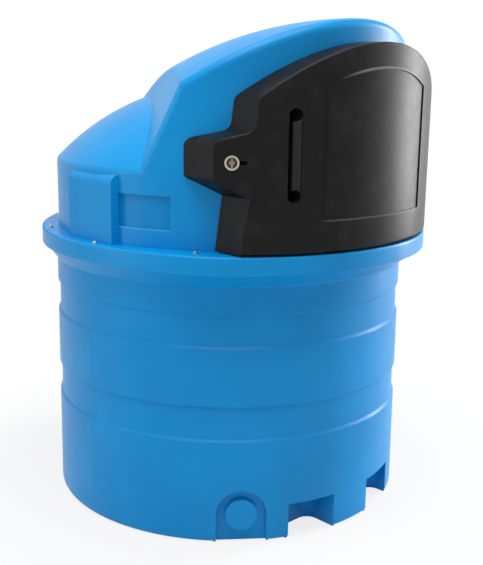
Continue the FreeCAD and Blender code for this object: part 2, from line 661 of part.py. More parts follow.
def make_tub():
    """The bund's skin, then its pockets, each with a wall of its own."""
    outside = [(0, 0), (s.tub_foot_radius - s.tub_foot_round, 0), (s.tub_foot_radius, s.tub_foot_round)]
    outside += tub_side(0)
    outside += [
        (flange_radius, s.rim_foot),
        (flange_radius, flange_top),
        (landing_radius, flange_top),
        (landing_radius, flange_top - s.tub_wall),
        (flange_radius - s.tub_wall, flange_top - s.tub_wall),
        (flange_radius - s.tub_wall, s.rim_foot),
    ]
    inside = tub_side(s.tub_wall)
    inside.reverse()
    inside += [(s.tub_foot_radius - s.tub_wall, s.tub_wall), (0, s.tub_wall)]
    skin = turned("tub_skin", outside + inside, {1: s.tub_foot_round})

    edge = s.skirt_wall + s.skirt_gap
    sill = rim_ends("tub_sill", turned("tub_sill_round", [
        (s.neck_radius - s.tub_wall / 2, s.neck_height),
        (s.sill_radius - edge, s.rim_foot),
        (s.sill_radius - edge, flange_top),
        (flange_radius - s.tub_wall / 2, flange_top),
        (flange_radius - s.tub_wall / 2, s.rim_foot),
    ], sweep=sill_sweep, middle=-90), edge)

    body = drum("pocket_limit", s.tub_foot_radius - s.tub_wall / 2, s.neck_height)
    walls = []
    hollows = []
    reach = s.tub_foot_radius - s.fork_back
    for name, side, facing in (
        ("front_left", -1, -1), ("front_right", 1, -1), ("back_left", -1, 1), ("back_right", 1, 1),
    ):
        left_edge = s.fork_middle * side - s.fork_width / 2
        if facing < 0:
            wall_y, hollow_y = -s.tub_foot_radius, -s.tub_foot_radius - s.tub_wall
        else:
            wall_y, hollow_y = s.fork_back - s.tub_wall, s.fork_back
        walls.append(block(
            "fork_wall_" + name, s.fork_width + s.tub_wall * 2, reach + s.tub_wall,
            s.fork_height + s.tub_wall, left_edge - s.tub_wall, wall_y, 0))
        square = block(
            "fork_square_" + name, s.fork_width, reach + s.tub_wall, s.fork_height + s.tub_wall,
            left_edge, hollow_y, -s.tub_wall)
        inner_y = (s.fork_back * facing).value
        hollows.append(rounded(
            "fork_hollow_" + name, square, s.fork_round,
            lambda edge, y=inner_y: runs_along(edge, UP) and abs(edge.CenterOfMass.y - y) < 1.0))

    half = s.drain_half_width
    crown = s.drain_crown

    def arched(grow):
        return [(half + grow, 0), (half + grow, crown), (-half - grow, crown), (-half - grow, 0)]

    drain_floor = s.tub_foot_radius - s.drain_depth
    drain_wall = prism("drain_wall", arched(s.tub_wall), drain_floor - s.tub_wall, s.tub_foot_radius,
                       {1: half + s.tub_wall})
    drain_hollow = prism("drain_hollow", arched(0), drain_floor, s.tub_foot_radius + s.tub_wall, {1: half})
    boss = drum("drain_boss", s.drain_boss_radius, s.drain_depth + s.tub_wall,
                y=-(drain_floor - s.tub_wall / 2), z=s.drain_boss_height, turn=Rotation(Vector(1, 0, 0), 90))
    boss_limit = drum("drain_boss_limit", s.tub_foot_radius - s.drain_boss_sink, s.neck_height)
    boss_there = common("drain_boss_fitted", boss, boss_limit)
    drain_wall_fitted = common("drain_wall_fitted", drain_wall, drum("drain_limit", s.tub_foot_radius
                                                                      - s.tub_wall / 2, s.neck_height))
    for item in (drain_hollow, boss_there, drain_wall_fitted):
        item.Placement = Placement(Vector(), turn_from_front(-s.drain_angle))

    pocket_walls = common("pocket_walls", fuse("fork_walls", *walls), body)
    grown = fuse("tub_grown", skin, sill, pocket_walls, drain_wall_fitted)
    hollowed = cut("tub_hollowed", grown, drain_hollow, *hollows)
    return fuse("tub_whole", hollowed, boss_there)


# The hood's outer form at an inset: the round wall with its dome, and the cabinet roof over the front

def flank(name, side, inset):
    """A tall block whose inner face is one flat flank of the roof."""
    lean = Rotation(Vector(0, 1, 0), -s.flank_lean.value * side)
    turn = Rotation(UP, s.flank_turn.value * side)
    face = turn.multiply(lean)
    outward = face.multVec(Vector(side, 0, 0))
    size = s.flank_block.value
    corner = Vector(0 if side > 0 else -size, -size / 2, -size / 2)
    item = doc.addObject("Part::Box", name)
    bind(item, "Length", s.flank_block)
    bind(item, "Width", s.flank_block)
    bind(item, "Height", s.flank_block)
    reach = (s.flank_reach + s.rim_top * sine(s.flank_lean) - inset).value
    item.Placement = Placement(outward * reach + face.multVec(corner), face)
    return item


def hood_form(name, inset, base, soft):
    """The hood's form drawn in by an inset on every side but its open foot; soft rounds its edges."""
    wall = s.hood_radius - inset
    dome = s.dome_radius - inset
    eave = s.dome_centre + root(dome * dome - wall * wall)
    barrel = turned(
        name + "_barrel", [(0, base), (wall, base), (wall, eave), (0, s.dome_centre + dome)], {2: dome})

    arch = s.roof_arch - inset
    ridge = s.roof_ridge - inset
    half = s.hood_radius + s.roof_spare
    low = ridge - arch + root(arch * arch - half * half)
    lowest = ridge - s.roof_drop
    axis_height = s.roof_top - s.roof_ridge
    section = [(-half, lowest), (half, lowest), (half, low), (-half, low)]
    sketch = outline(name + "_arch", section, {2: arch}, FACING_FRONT)
    bind_place(sketch, 0, -s.roof_front, axis_height)
    roof = doc.addObject("Part::Revolution", name + "_roof")
    roof.Source = sketch
    roof.Axis = Vector(1, 0, 0)
    bind(roof, "Base.y", -s.roof_front)
    bind(roof, "Base.z", axis_height)
    roof.Solid = True
    roof.Symmetric = True
    bind(roof, "Angle", s.roof_sweep)
    foot = s.roof_top - s.roof_drop
    limit = drum(name + "_limit", wall, s.roof_drop * 2, z=foot)
    cowl = cut(name + "_cowl", common(name + "_roof_round", roof, limit),
               flank(name + "_flank_left", -1, inset), flank(name + "_flank_right", 1, inset))
    if not soft:
        return fuse(name, barrel, cowl)
    above = (foot + s.cut_spare).value
    behind = s.hood_radius.value / 2
    barrel_soft = rounded(name + "_barrel_soft", barrel, s.eave_round,
                          lambda edge: abs(edge.CenterOfMass.z - eave.value) < 1.0
                          and edge.Length > wall.value)
    cowl_soft = rounded(name + "_cowl_soft", cowl, s.hood_round,
                        lambda edge: edge.CenterOfMass.z > above and edge.CenterOfMass.y < behind)
    return fuse(name, barrel_soft, cowl_soft)


def cabinet_form(name, grow):
    """The cabinet's space, grown by an amount on every side but the front."""
    half = s.cabinet_half + grow
    arch = s.cabinet_arch + grow
    top = s.cabinet_top + grow
    spring = top - arch + root(arch * arch - half * half)
    floor = s.cabinet_floor - grow
    corners = [(-half, floor), (half, floor), (half, spring), (-half, spring)]
    return prism(name, corners, s.cabinet_back - grow, s.door_face, {2: arch})


def make_hood():
    flange = s.rim_top - s.tub_wall
    below = flange - s.cut_spare
    outside = hood_form("hood_outside", 0, flange, True)
    inside = hood_form("hood_inside", s.tub_wall, below, False)

    def on_pad_top(edge):
        at = edge.CenterOfMass
        return (runs_along(edge, FRONT) and at.x < -s.hood_radius.value / 2
                and at.z > (s.rim_top + s.pad_height / 2).value)

    pad = block("side_pad", s.pad_face, s.pad_front + s.pad_back, s.pad_top - s.rim_top + s.tub_wall,
                -s.pad_face, -s.pad_front, s.rim_top - s.tub_wall)
    pad_soft = rounded("side_pad_soft", pad, s.pad_round,
                       on_pad_top)
    pad_inner = block("side_pad_inner", s.pad_face - s.tub_wall,
                      s.pad_front + s.pad_back - s.tub_wall * 2,
                      s.pad_top - s.tub_wall - below, -s.pad_face + s.tub_wall,
                      -s.pad_front + s.tub_wall, below)
    pad_room = rounded("side_pad_room", pad_inner, s.pad_round - s.tub_wall,
                       on_pad_top)

    panel_radius = s.hood_radius - s.panel_depth
    panel_skin = turned(
        "panel_skin",
        [(panel_radius - s.tub_wall, s.panel_foot - s.tub_wall),
         (s.hood_radius - s.tub_wall / 2, s.panel_foot - s.tub_wall),
         (s.hood_radius - s.tub_wall / 2, s.panel_top + s.tub_wall),
         (panel_radius - s.tub_wall, s.panel_top + s.tub_wall)],
        sweep=s.panel_sweep + s.panel_spare * 2, middle=-90 - s.panel_angle)
    panel_hollow = turned(
        "panel_hollow",
        [(panel_radius, s.panel_foot), (s.hood_radius + s.tub_wall, s.panel_foot),
         (s.hood_radius + s.tub_wall, s.panel_top), (panel_radius, s.panel_top)],
        sweep=s.panel_sweep, middle=-90 - s.panel_angle)

    skirt = turned("hood_skirt", [
        (s.hood_radius - s.tub_wall / 2, s.rim_top - s.tub_wall),
        (s.rim_radius - s.skirt_wall, s.rim_top - s.tub_wall),
        (s.rim_radius - s.skirt_wall, s.rim_foot),
        (s.rim_radius, s.rim_foot),
        (s.rim_radius, s.rim_top - s.rim_round),
        (s.rim_radius - s.rim_round, s.rim_top),
        (s.hood_radius - s.tub_wall / 2, s.rim_top),
    ], {4: s.rim_round})
    inner = s.rim_radius - s.skirt_wall
    sill = rim_ends("hood_sill", turned("hood_sill_round", [
        (inner, s.rim_foot),
        (s.sill_radius, s.rim_foot),
        (s.sill_radius, s.rim_top - s.rim_round),
        (s.sill_radius - s.rim_round, s.rim_top),
        (inner, s.rim_top),
    ], {2: s.rim_round}, sweep=sill_sweep, middle=-90), 0)
    under_sill = rim_ends("under_sill", turned("under_sill_round", [
        (inner - s.skirt_gap, s.rim_foot - s.cut_spare),
        (s.sill_radius - s.skirt_wall, s.rim_foot - s.cut_spare),
        (s.sill_radius - s.skirt_wall, s.rim_top - s.tub_wall),
        (inner - s.skirt_gap, s.rim_top - s.tub_wall),
    ], sweep=sill_sweep, middle=-90), s.skirt_wall)

    rim = cut("hood_rim", fuse("hood_rim_closed", skirt, sill), under_sill)
    full = fuse("hood_full", outside, pad_soft, rim)
    room = fuse("hood_room", inside, pad_room)
    beside = cut("hood_room_beside", room, cabinet_form("cabinet_skin", s.tub_wall))
    hollow = cut("hood_hollow", beside, panel_skin)
    skin = cut("hood_skin", full, hollow)
    opened = cut("hood_opened", skin, cabinet_form("cabinet_space", 0))
    return cut("hood_whole", opened, panel_hollow)


# The door: a skin with an arched top and a lock tab, curved to the hood's front

def door_outline(inset):
    """The door's outline drawn in by an inset, from the lower left corner round to the left."""
    foot_half = s.door_foot_half - inset
    shoulder_half = s.door_shoulder_half - inset
    arch = s.door_arch - inset
    centre = s.door_top - s.door_arch
    shoulder = centre + root(arch * arch - shoulder_half * shoulder_half)
    foot = s.door_foot + inset
    lean = (s.door_foot_half - s.door_shoulder_half) / (shoulder - s.door_foot)

    def edge(height):
        return -foot_half + lean * (height - s.door_foot)

    return [
        (-foot_half, foot), (foot_half, foot), (shoulder_half, shoulder), (-shoulder_half, shoulder),
        (edge(s.tab_top_root - inset), s.tab_top_root - inset),
        (-s.tab_side + inset, s.tab_top - inset),
        (-s.tab_side + inset, s.tab_foot + inset / 2),
        (edge(s.tab_foot_root + inset), s.tab_foot_root + inset),
    ], {2: arch}


def make_door():
    corners, arcs = door_outline(0)
    near = s.cabinet_back * 2
    plate = prism("door_plate", corners, near, s.door_face + s.cut_spare, arcs)
    upper = (s.door_top + s.door_foot).value / 2
    softer = rounded("door_corners", plate, s.door_corner,
                     lambda edge: runs_along(edge, FRONT) and edge.CenterOfMass.z > upper)
    tab = rounded("door_tab_corners", softer, s.tab_corner,
                  lambda edge: runs_along(edge, FRONT) and edge.CenterOfMass.x < -s.tab_side.value + 1.0)
    ring = cut("door_ring", drum("door_ring_outside", s.door_face, span_height, z=span_foot),
               drum("door_ring_inside", s.door_rear, span_height, z=span_foot))
    reach = s.door_face + s.cut_spare
    front_half = block("door_front_half", reach * 2, reach, span_height, -reach, -reach - near, span_foot)
    outside = common("door_outside", tab, ring, front_half)

    def on_face(edge):
        at = edge.CenterOfMass
        ends = [v.Point for v in edge.Vertexes]
        face = s.door_face.value
        if math.hypot(at.x, at.y) < face / 2:
            return False
        return all(abs(math.hypot(p.x, p.y) - face) < 0.01 for p in ends)

    outside_soft = rounded("door_outside_soft", outside, s.door_edge, on_face)

    inner_corners, inner_arcs = door_outline(s.door_wall)
    inner_plate = prism("door_inner_plate", inner_corners, near - s.cut_spare, s.door_face, inner_arcs)
    inner_limit = drum("door_inner_limit", s.door_face - s.door_wall, span_height, z=span_foot)
    inner = common("door_inner", inner_plate, inner_limit)

    pit_length = s.grip_top - s.grip_foot
    ahead = s.cut_spare * 3
    grip_y = root(s.door_face * s.door_face - s.grip_middle * s.grip_middle)
    facing = Rotation(Vector(1, 0, 0), 90)

    def grip(name, grow, depth):
        """The handle recess: two round pits and the finger slot between them."""
        pits = [
            drum(name + end, s.grip_pit_radius + grow, depth + ahead, -s.grip_middle, -(grip_y - depth), z,
                 turn=facing)
            for end, z in (("_lower", s.grip_foot), ("_upper", s.grip_top))
        ]
        slot = block(name + "_slot", s.grip_slot + grow * 2, depth + ahead, pit_length,
                     -s.grip_middle - s.grip_pit_radius - grow, -(grip_y + ahead), s.grip_foot)
        return fuse(name, slot, *pits)

    grip_skin = grip("grip_skin", s.door_wall, s.grip_depth + s.door_wall)
    grip_hollow = grip("grip_hollow", 0, s.grip_depth)
    bar_face = block("grip_bar_face", s.grip_pit_radius * 2, ahead, pit_length,
                     -s.grip_middle - s.grip_pit_radius, -(grip_y - s.grip_bar_depth) - ahead, s.grip_foot)

    def inset_plate(name, grow):
        """The sunk panel's outline as a plate through the door's skin."""
        arch = s.door_arch - s.inset_margin + grow
        half = s.inset_half + grow
        spring = s.inset_top + grow - arch + root(arch * arch - half * half)
        foot = s.inset_foot - grow
        corners = [(-half, foot), (half, foot), (half, spring), (-half, spring)]
        return prism(name, corners, near, s.door_face + s.cut_spare, {2: arch})

    inset = cut("inset_hollow", inset_plate("inset_plate", 0),
                drum("inset_floor", s.door_face - s.inset_depth, span_height, z=span_foot))
    inset_skin = cut("inset_skin", inset_plate("inset_back_plate", s.inset_depth),
                     drum("inset_skin_back", s.door_face - s.inset_depth - s.door_wall, span_height,
                          z=span_foot))

    hollow = cut("door_hollow", inner, grip_skin, inset_skin)
    return cut("door_whole", outside_soft, hollow, grip_hollow, bar_face, inset)


# The inner tank, its opening and its lid

def make_inner_tank():
    wall = s.tank_wall
    floor = s.tub_wall
    outside = turned("tank_outside", [
        (0, floor), (s.tank_foot_radius, floor), (s.tank_foot_radius, s.tank_foot_height),
        (s.tank_radius, s.tank_shoulder_height), (s.tank_radius, s.tank_side_top),
        (s.tank_crown_radius, s.tank_top), (0, s.tank_top)])
    inside = turned("tank_inside", [
        (0, floor + wall), (s.tank_foot_radius - wall, floor + wall),
        (s.tank_foot_radius - wall, s.tank_foot_height + wall / 2),
        (s.tank_radius - wall, s.tank_shoulder_height + wall / 2),
        (s.tank_radius - wall, s.tank_side_top - wall / 2),
        (s.tank_crown_radius - wall, s.tank_top - wall), (0, s.tank_top - wall)])
    collar = drum("manhole_collar", s.manhole_radius + wall, s.manhole_height + wall / 2,
                  0, s.manhole_back, s.tank_top - wall / 2)
    mouth = drum("manhole_mouth", s.manhole_radius, s.manhole_height + wall * 3,
                 0, s.manhole_back, s.tank_top - wall * 1.5)
    vessel = cut("tank_shell", fuse("tank_with_collar", outside, collar), inside)
    opened = cut("tank_opened", vessel, mouth)
    return cut("tank_whole", opened, *top_holes("tank"),
               *pipe_holes("tank", s.tank_top - wall * 2, wall * 4))


def pipe_holes(name, foot, height):
    """Round holes where the suction pipe passes a floor."""
    return [drum(name + "_suction_hole", s.suction_radius + s.pipe_gap, height,
                 -s.suction_left, pump_y, foot)]


def make_lid():
    """The inspection lid, a shallow cap over the collar."""
    radius = s.manhole_radius + s.tank_wall + s.loose
    top = s.tank_top + s.manhole_height
    cap = drum("lid_outside", radius + s.lid_wall, s.lid_skirt + s.lid_wall, 0, s.manhole_back,
               top - s.lid_skirt)
    room = drum("lid_inside", radius, s.lid_skirt, 0, s.manhole_back, top - s.lid_skirt)
    return cut("lid_whole", cap, room)


# The screwed joint round the rim

def round_rim(name, make):
    """One piece at each screw of the rim, left and right of the back."""
    parts = []
    for number in range(-4, 5):
        item = make("%s_%d" % (name, number + 5))
        angle = 90 + s.bolt_step * number
        bind(item, "Placement.Base.x", s.rim_bolt_radius * cosine(angle))
        bind(item, "Placement.Base.y", s.rim_bolt_radius * sine(angle))
        parts.append(item)
    return parts


def make_screw(name):
    head_foot = s.rim_top + s.washer_height
    shank = s.tub_wall * 2 + s.seal_height + s.washer_height + s.nut_height + s.bolt_end
    head = turned(name + "_head", [
        (0, head_foot), (s.bolt_head_radius, head_foot),
        (s.bolt_head_radius, head_foot + s.bolt_head_height / 2),
        (s.bolt_radius, head_foot + s.bolt_head_height), (0, head_foot + s.bolt_head_height)])
    body = drum(name + "_shank", s.bolt_radius, shank, z=head_foot - shank)
    return fuse(name, head, body)


def make_ring(name, foot, height, outer, bore):
    return cut(name, drum(name + "_disc", outer, height, z=foot), drum(name + "_bore", bore, height, z=foot))


def make_nut(name):
    foot = flange_top - s.tub_wall - s.nut_height
    hexagon = [(s.nut_radius * cosine(60 * k), s.nut_radius * sine(60 * k)) for k in range(6)]
    body = doc.addObject("Part::Extrusion", name + "_hexagon")
    sketch = outline(name + "_outline", hexagon)
    bind(sketch, "Placement.Base.z", foot)
    body.Base = sketch
    body.DirMode = "Custom"
    body.Dir = UP
    body.Solid = True
    bind(body, "LengthFwd", s.nut_height)
    return cut(name, body, drum(name + "_bore", s.bolt_radius, s.nut_height, z=foot))


def rim_holes(name, foot, height):
    return round_rim(name, lambda label: drum(label, s.bolt_hole, height, z=foot))


def make_rim_seal():
    middle = flange_radius - s.seal_inset
    low = middle - s.seal_width / 2
    high = middle + s.seal_width / 2
    return turned("rim_seal_turn", [
        (low, flange_top), (high, flange_top), (high, flange_top + s.seal_height),
        (low, flange_top + s.seal_height)])


# The seal round the cabinet's opening, on the hood's wall

def make_weather_strip():
    outer = cabinet_form("strip_outside", s.strip_width)
    inner = cabinet_form("strip_inside", s.loose)
    band = cut("strip_band", outer, inner)
    ring = cut("strip_ring",
               drum("strip_ring_outside", s.hood_radius + s.strip_height, s.roof_rise, z=s.rim_top),
               drum("strip_ring_inside", s.hood_radius, s.roof_rise, z=s.rim_top))
    limit = block("strip_front", s.hood_radius * 2, s.hood_radius, s.roof_rise, -s.hood_radius,
                  -s.hood_radius - s.cabinet_back - s.strip_height, s.rim_top + s.loose)
    return common("strip_whole", band, ring, limit)


# The hinges: a lug on the door between a bracket's two ears, with a pin through

hinge_x = s.hinge_radius * sine(s.hinge_angle)
hinge_y = -s.hinge_radius * cosine(s.hinge_angle)


def door_lug(name, height):
    """A lug moulded on the door's side, widest where it leaves the door."""
    root_x = s.door_shoulder_half
    rear = root(s.door_rear * s.door_rear - root_x * root_x)
    corners = [(root_x, -rear), (root_x, -rear - s.lug_root), (hinge_x, hinge_y - s.lug_radius),
               (hinge_x, hinge_y + s.lug_radius)]
    arm = doc.addObject("Part::Extrusion", name + "_arm")
    sketch = outline(name + "_outline", corners)
    bind(sketch, "Placement.Base.z", height - s.lug_height / 2)
    arm.Base = sketch
    arm.DirMode = "Custom"
    arm.Dir = UP
    arm.Solid = True
    bind(arm, "LengthFwd", s.lug_height)
    end = drum(name + "_end", s.lug_radius, s.lug_height, hinge_x, hinge_y, height - s.lug_height / 2)
    return fuse(name, arm, end)


def pin_bore(name, radius, height):
    length = s.lug_height + s.ear_height * 4
    return drum(name, radius, length, hinge_x, hinge_y, height - length / 2)


def make_bracket(name, height):
    """A base that fits the round wall, with an ear above and below the door's lug."""
    half = s.lug_height / 2 + s.loose + s.ear_height
    base = turned(name + "_base", [
        (s.hood_radius, height - half), (s.hood_radius + s.bracket_base, height - half),
        (s.hood_radius + s.bracket_base, height + half), (s.hood_radius, height + half)],
        sweep=s.bracket_sweep, middle=-90 + s.hinge_angle + s.bracket_sweep / 2 - s.bracket_lead)
    parts = [base]
    reach = s.hinge_radius - s.hood_radius - s.bracket_base / 2
    for end, foot in (("low", height - half), ("high", height + half - s.ear_height)):
        arm = block(name + "_arm_" + end, reach, s.ear_width, s.ear_height)
        arm.Placement = Placement(Vector(), Rotation(UP, -90 + s.hinge_angle.value))
        bind(arm, "Placement.Base.x", hinge_x - reach * sine(s.hinge_angle)
             - s.ear_width / 2 * cosine(s.hinge_angle))
        bind(arm, "Placement.Base.y", hinge_y + reach * cosine(s.hinge_angle)
             - s.ear_width / 2 * sine(s.hinge_angle))
        bind(arm, "Placement.Base.z", foot)
        tip = drum(name + "_tip_" + end, s.lug_radius, s.ear_height, hinge_x, hinge_y, foot)
        parts += [arm, tip]
    whole = fuse(name + "_solid", *parts)
    return cut(name, whole, pin_bore(name + "_bore", s.hinge_pin_radius, height))


def make_hinge_pin(name, height):
    length = s.lug_height + s.ear_height * 2 + s.loose * 2
    shank = drum(name + "_shank", s.hinge_pin_radius, length, hinge_x, hinge_y, height - length / 2)
    head = drum(name + "_head", s.hinge_pin_radius + s.pin_head, s.pin_head, hinge_x, hinge_y,
                height + length / 2)
    return fuse(name, shank, head)


# The lock, made about its own axis and then carried to the door's tab

def at_lock(item):
    turn = turn_from_front(-s.lock_angle).multiply(Rotation(Vector(1, 0, 0), 90))
    item.Placement = Placement(Vector(0, 0, s.lock_height.value), turn)
    return item


lock_seat = s.door_face - s.lock_seat
barrel_top = lock_seat + s.lock_floor


def make_lock_housing():
    ring = drum("lock_ring", s.lock_ring_radius, s.lock_ring_height, z=lock_seat)
    ring_room = drum("lock_ring_room", s.lock_ring_bore, s.lock_ring_height, z=barrel_top)
    sleeve = drum("lock_sleeve", s.lock_sleeve_radius, s.lock_sleeve_length + s.lock_floor,
                  z=lock_seat - s.lock_sleeve_length)
    bore = drum("lock_bore", s.lock_barrel_radius + s.running, s.lock_sleeve_length + s.cut_spare,
                z=lock_seat - s.lock_sleeve_length - s.lock_floor)
    return at_lock(cut("lock_housing_cut", fuse("lock_housing_solid", ring, sleeve), ring_room, bore))


def make_lock_nut():
    foot = s.door_face - s.door_wall - s.loose - s.lock_nut_height
    return at_lock(make_ring("lock_nut_ring", foot, s.lock_nut_height, s.lock_nut_radius,
                             s.lock_sleeve_radius))


def make_lock_barrel():
    barrel = drum("lock_barrel_body", s.lock_barrel_radius, s.lock_barrel_length,
                  z=barrel_top - s.lock_barrel_length)
    grip_half = s.lock_ring_bore - s.lock_floor
    grip = block("lock_grip", s.lock_grip_width, grip_half * 2, s.lock_ring_height,
                 -s.lock_grip_width / 2, -grip_half, barrel_top + s.loose)
    neck = drum("lock_neck", s.lock_grip_width / 2, s.lock_floor * 2, z=lock_seat)
    return at_lock(fuse("lock_barrel_solid", barrel, neck, grip))


def make_lock_cam():
    foot = barrel_top - s.lock_barrel_length - s.lock_cam_thick
    half = s.lock_cam_width / 2
    bar = block("lock_cam_bar", s.lock_cam_width, s.lock_cam_length - half, s.lock_cam_thick, -half, 0, foot)
    ends = [drum("lock_cam_end_" + name, half, s.lock_cam_thick, 0, y, foot)
            for name, y in (("near", 0), ("far", s.lock_cam_length - half))]
    return at_lock(fuse("lock_cam_solid", bar, *ends))


def make_keeper():
    """A bent plate on the hood's wall whose lip stands over the turned cam."""
    cam_face = barrel_top - s.lock_barrel_length
    lip_foot = cam_face + s.keeper_gap
    side = s.lock_cam_length + s.keeper_gap
    seat = s.hood_radius - s.keeper_thick / 2
    post = block("keeper_post", s.keeper_thick, s.keeper_width, lip_foot + s.keeper_thick - seat,
                 -side - s.keeper_thick, -s.keeper_width / 2, seat)
    lip = block("keeper_lip", s.lock_cam_length / 2 + s.keeper_gap, s.keeper_width, s.keeper_thick,
                -side, -s.keeper_width / 2, lip_foot)
    foot = block("keeper_foot", s.keeper_foot, s.keeper_width, s.keeper_thick * 2, -side,
                 -s.keeper_width / 2, seat)
    bent = at_lock(fuse("keeper_bent", post, lip, foot))
    return cut("keeper_whole", bent, drum("keeper_wall", s.hood_radius, s.roof_rise, z=s.rim_top))


def lock_cuts():
    seat = drum("lock_seat_flat", s.lock_ring_radius + s.loose, s.cut_spare, z=lock_seat)
    hole = drum("lock_hole", s.lock_sleeve_radius + s.running, s.cut_spare * 3,
                z=lock_seat - s.cut_spare * 2)
    slot_foot = s.door_face - s.lock_slot_depth
    half = s.lock_slot_height / 2
    length = s.lock_slot_length - s.lock_slot_height
    middle = block("lock_slot_middle", length, s.lock_slot_height, s.cut_spare,
                   s.lock_slot_offset - s.lock_slot_length / 2 + half, -half, slot_foot)
    ends = [
        drum("lock_slot_end_%d" % (side + 2), half, s.cut_spare,
             s.lock_slot_offset + (s.lock_slot_length / 2 - half) * side, 0, slot_foot)
        for side in (-1, 1)
    ]
    return at_lock(fuse("lock_cutouts", seat, hole, middle, *ends))


# The pump set on the cabinet's back wall

pump_y = -(s.cabinet_back + s.pump_line)
pump_z = s.shelf_height + s.head_height / 2
ALONG_X = Rotation(Vector(0, 1, 0), 90)
TOWARD_FRONT = Rotation(Vector(1, 0, 0), 90)


def make_shelf():
    plate = block("shelf_plate", s.shelf_half * 2, s.shelf_depth, s.shelf_thick,
                  -s.shelf_half, -s.cabinet_back - s.shelf_depth, s.shelf_height - s.shelf_thick)
    back = block("shelf_back_plate", s.shelf_half * 2, s.shelf_thick, s.shelf_back,
                 -s.shelf_half, -s.cabinet_back - s.shelf_thick, s.shelf_height - s.shelf_back)
    return fuse("shelf_whole", plate, back)


def make_pump_head():
    head = block("head_block", s.head_width, s.head_width, s.head_height,
                 -s.head_left, pump_y - s.head_width / 2, s.shelf_height)
    return rounded("head_soft", head, s.head_round, lambda edge: runs_along(edge, UP))


def make_motor():
    start = s.head_width - s.head_left
    barrel = drum("motor_barrel", s.motor_radius, s.motor_length, start, pump_y, pump_z, turn=ALONG_X)
    fins = [make_fin("motor_fin_%d" % k, start + s.fin_step * (k + 0.5)) for k in range(8)]
    foot = block("motor_foot", s.box_width, s.box_depth, pump_z - s.shelf_height, start + s.foot_lead,
                 pump_y - s.box_depth / 2, s.shelf_height)
    top = block("motor_top", s.box_width, s.box_depth, s.motor_radius + s.fin_width, start + s.foot_lead,
                pump_y - s.box_depth / 2, pump_z)
    return fuse("motor_whole", barrel, foot, top, *fins)


def make_fin(name, x):
    return drum(name, s.motor_radius + s.fin_width, s.fin_width, x, pump_y, pump_z, turn=ALONG_X)


def along(name, corners, place):
    """A half section turned once round its own axis, then set at its place."""
    turn = doc.addObject("Part::Revolution", name)
    turn.Source = outline(name + "_section", corners, None, FACING_FRONT)
    turn.Axis = UP
    turn.Angle = 360.0
    turn.Solid = True
    turn.Placement = place
    return turn


def at(x, y, z, turn=None):
    spot = Vector(*[as_size(value).value for value in (x, y, z)])
    return Placement(spot, turn or Rotation())


def make_motor_cover():
    start = s.head_width - s.head_left + s.motor_length
    wide = s.motor_radius + s.fin_width / 2
    return along("cover_turned", [
        (0, 0), (wide, 0), (wide, s.cover_length - s.cover_slope),
        (wide - s.cover_slope, s.cover_length), (0, s.cover_length)], at(start, pump_y, pump_z, ALONG_X))


box_foot = pump_z + s.motor_radius + s.fin_width
switch_x = s.head_width - s.head_left + s.foot_lead + s.box_width / 2
switch_z = box_foot + s.box_height / 2
box_front = pump_y - s.box_depth / 2


def make_terminal_box():
    start = s.head_width - s.head_left + s.foot_lead
    box = block("box_block", s.box_width, s.box_depth, s.box_height, start, box_front, box_foot)
    soft = rounded("box_soft", box, s.box_round, lambda edge: runs_along(edge, UP))
    bore = drum("box_bore", s.spindle_radius + s.running, s.spindle_length + s.loose * 2, switch_x,
                box_front + s.spindle_length + s.loose, switch_z,
                turn=TOWARD_FRONT)
    return cut("box_whole", soft, bore)


def make_switch():
    knob = drum("switch_knob", s.switch_radius, s.switch_height, switch_x, box_front - s.loose,
                switch_z, turn=TOWARD_FRONT)
    half = s.switch_radius - s.loose
    bar = block("switch_bar", s.switch_radius / 2, s.switch_height * 2, half * 2,
                switch_x - s.switch_radius / 4, box_front - s.loose - s.switch_height * 2, switch_z - half)
    spindle = drum("switch_spindle", s.spindle_radius, s.spindle_length, switch_x,
                   box_front + s.spindle_length - s.loose, switch_z, turn=TOWARD_FRONT)
    return fuse("switch_whole", knob, bar, spindle)


filter_x = -s.head_left - s.nipple_length - s.filter_width


def make_filter_head():
    head = block("filter_block", s.filter_width, s.filter_width, s.filter_height, filter_x,
                 pump_y - s.filter_width / 2, pump_z - s.filter_height / 2)
    return rounded("filter_soft", head, s.filter_round, lambda edge: runs_along(edge, UP))


def make_bowl():
    wide = s.bowl_radius
    return along("bowl_turned", [
        (0, 0), (wide - s.bowl_slope, 0), (wide, s.bowl_slope), (wide, s.bowl_length), (0, s.bowl_length)],
        at(filter_x + s.filter_width / 2, pump_y, pump_z - s.filter_height / 2 - s.bowl_length))


def pipe(name, radius, wall, points, bend):
    """A round pipe along straight runs joined by tangent bends."""
    places = [Vector(*[as_size(value).value for value in point]) for point in points]
    radius, wall, bend = as_size(radius).value, as_size(wall).value, as_size(bend).value
    edges = []
    start = places[0]
    for before, corner, after in zip(places, places[1:], places[2:]):
        back = before.sub(corner).normalize()
        ahead = after.sub(corner).normalize()
        half_turn = (math.pi - back.getAngle(ahead)) / 2
        set_back = bend * math.tan(half_turn)
        first = corner + back * set_back
        last = corner + ahead * set_back
        out = (back + ahead).normalize()
        middle = corner + out * (bend / math.cos(half_turn) - bend)
        edges += [Part.LineSegment(start, first).toShape(), Part.Arc(first, middle, last).toShape()]
        start = last
    edges.append(Part.LineSegment(start, places[-1]).toShape())
    path = Part.Wire(edges)
    aim = places[1].sub(places[0])

    def swept(size):
        ring = Part.Wire(Part.Circle(places[0], aim, size).toShape())
        return path.makePipeShell([ring], True, True)

    item = doc.addObject("Part::Feature", name)
    item.Shape = swept(radius).cut(swept(radius - wall)) if wall else swept(radius)
    return item


def make_suction_pipe():
    x = -s.suction_left
    return pipe("suction_path", s.suction_radius, s.pipe_wall,
                [(x, pump_y, s.suction_foot), (x, pump_y, pump_z), (filter_x, pump_y, pump_z)],
                s.suction_bend)


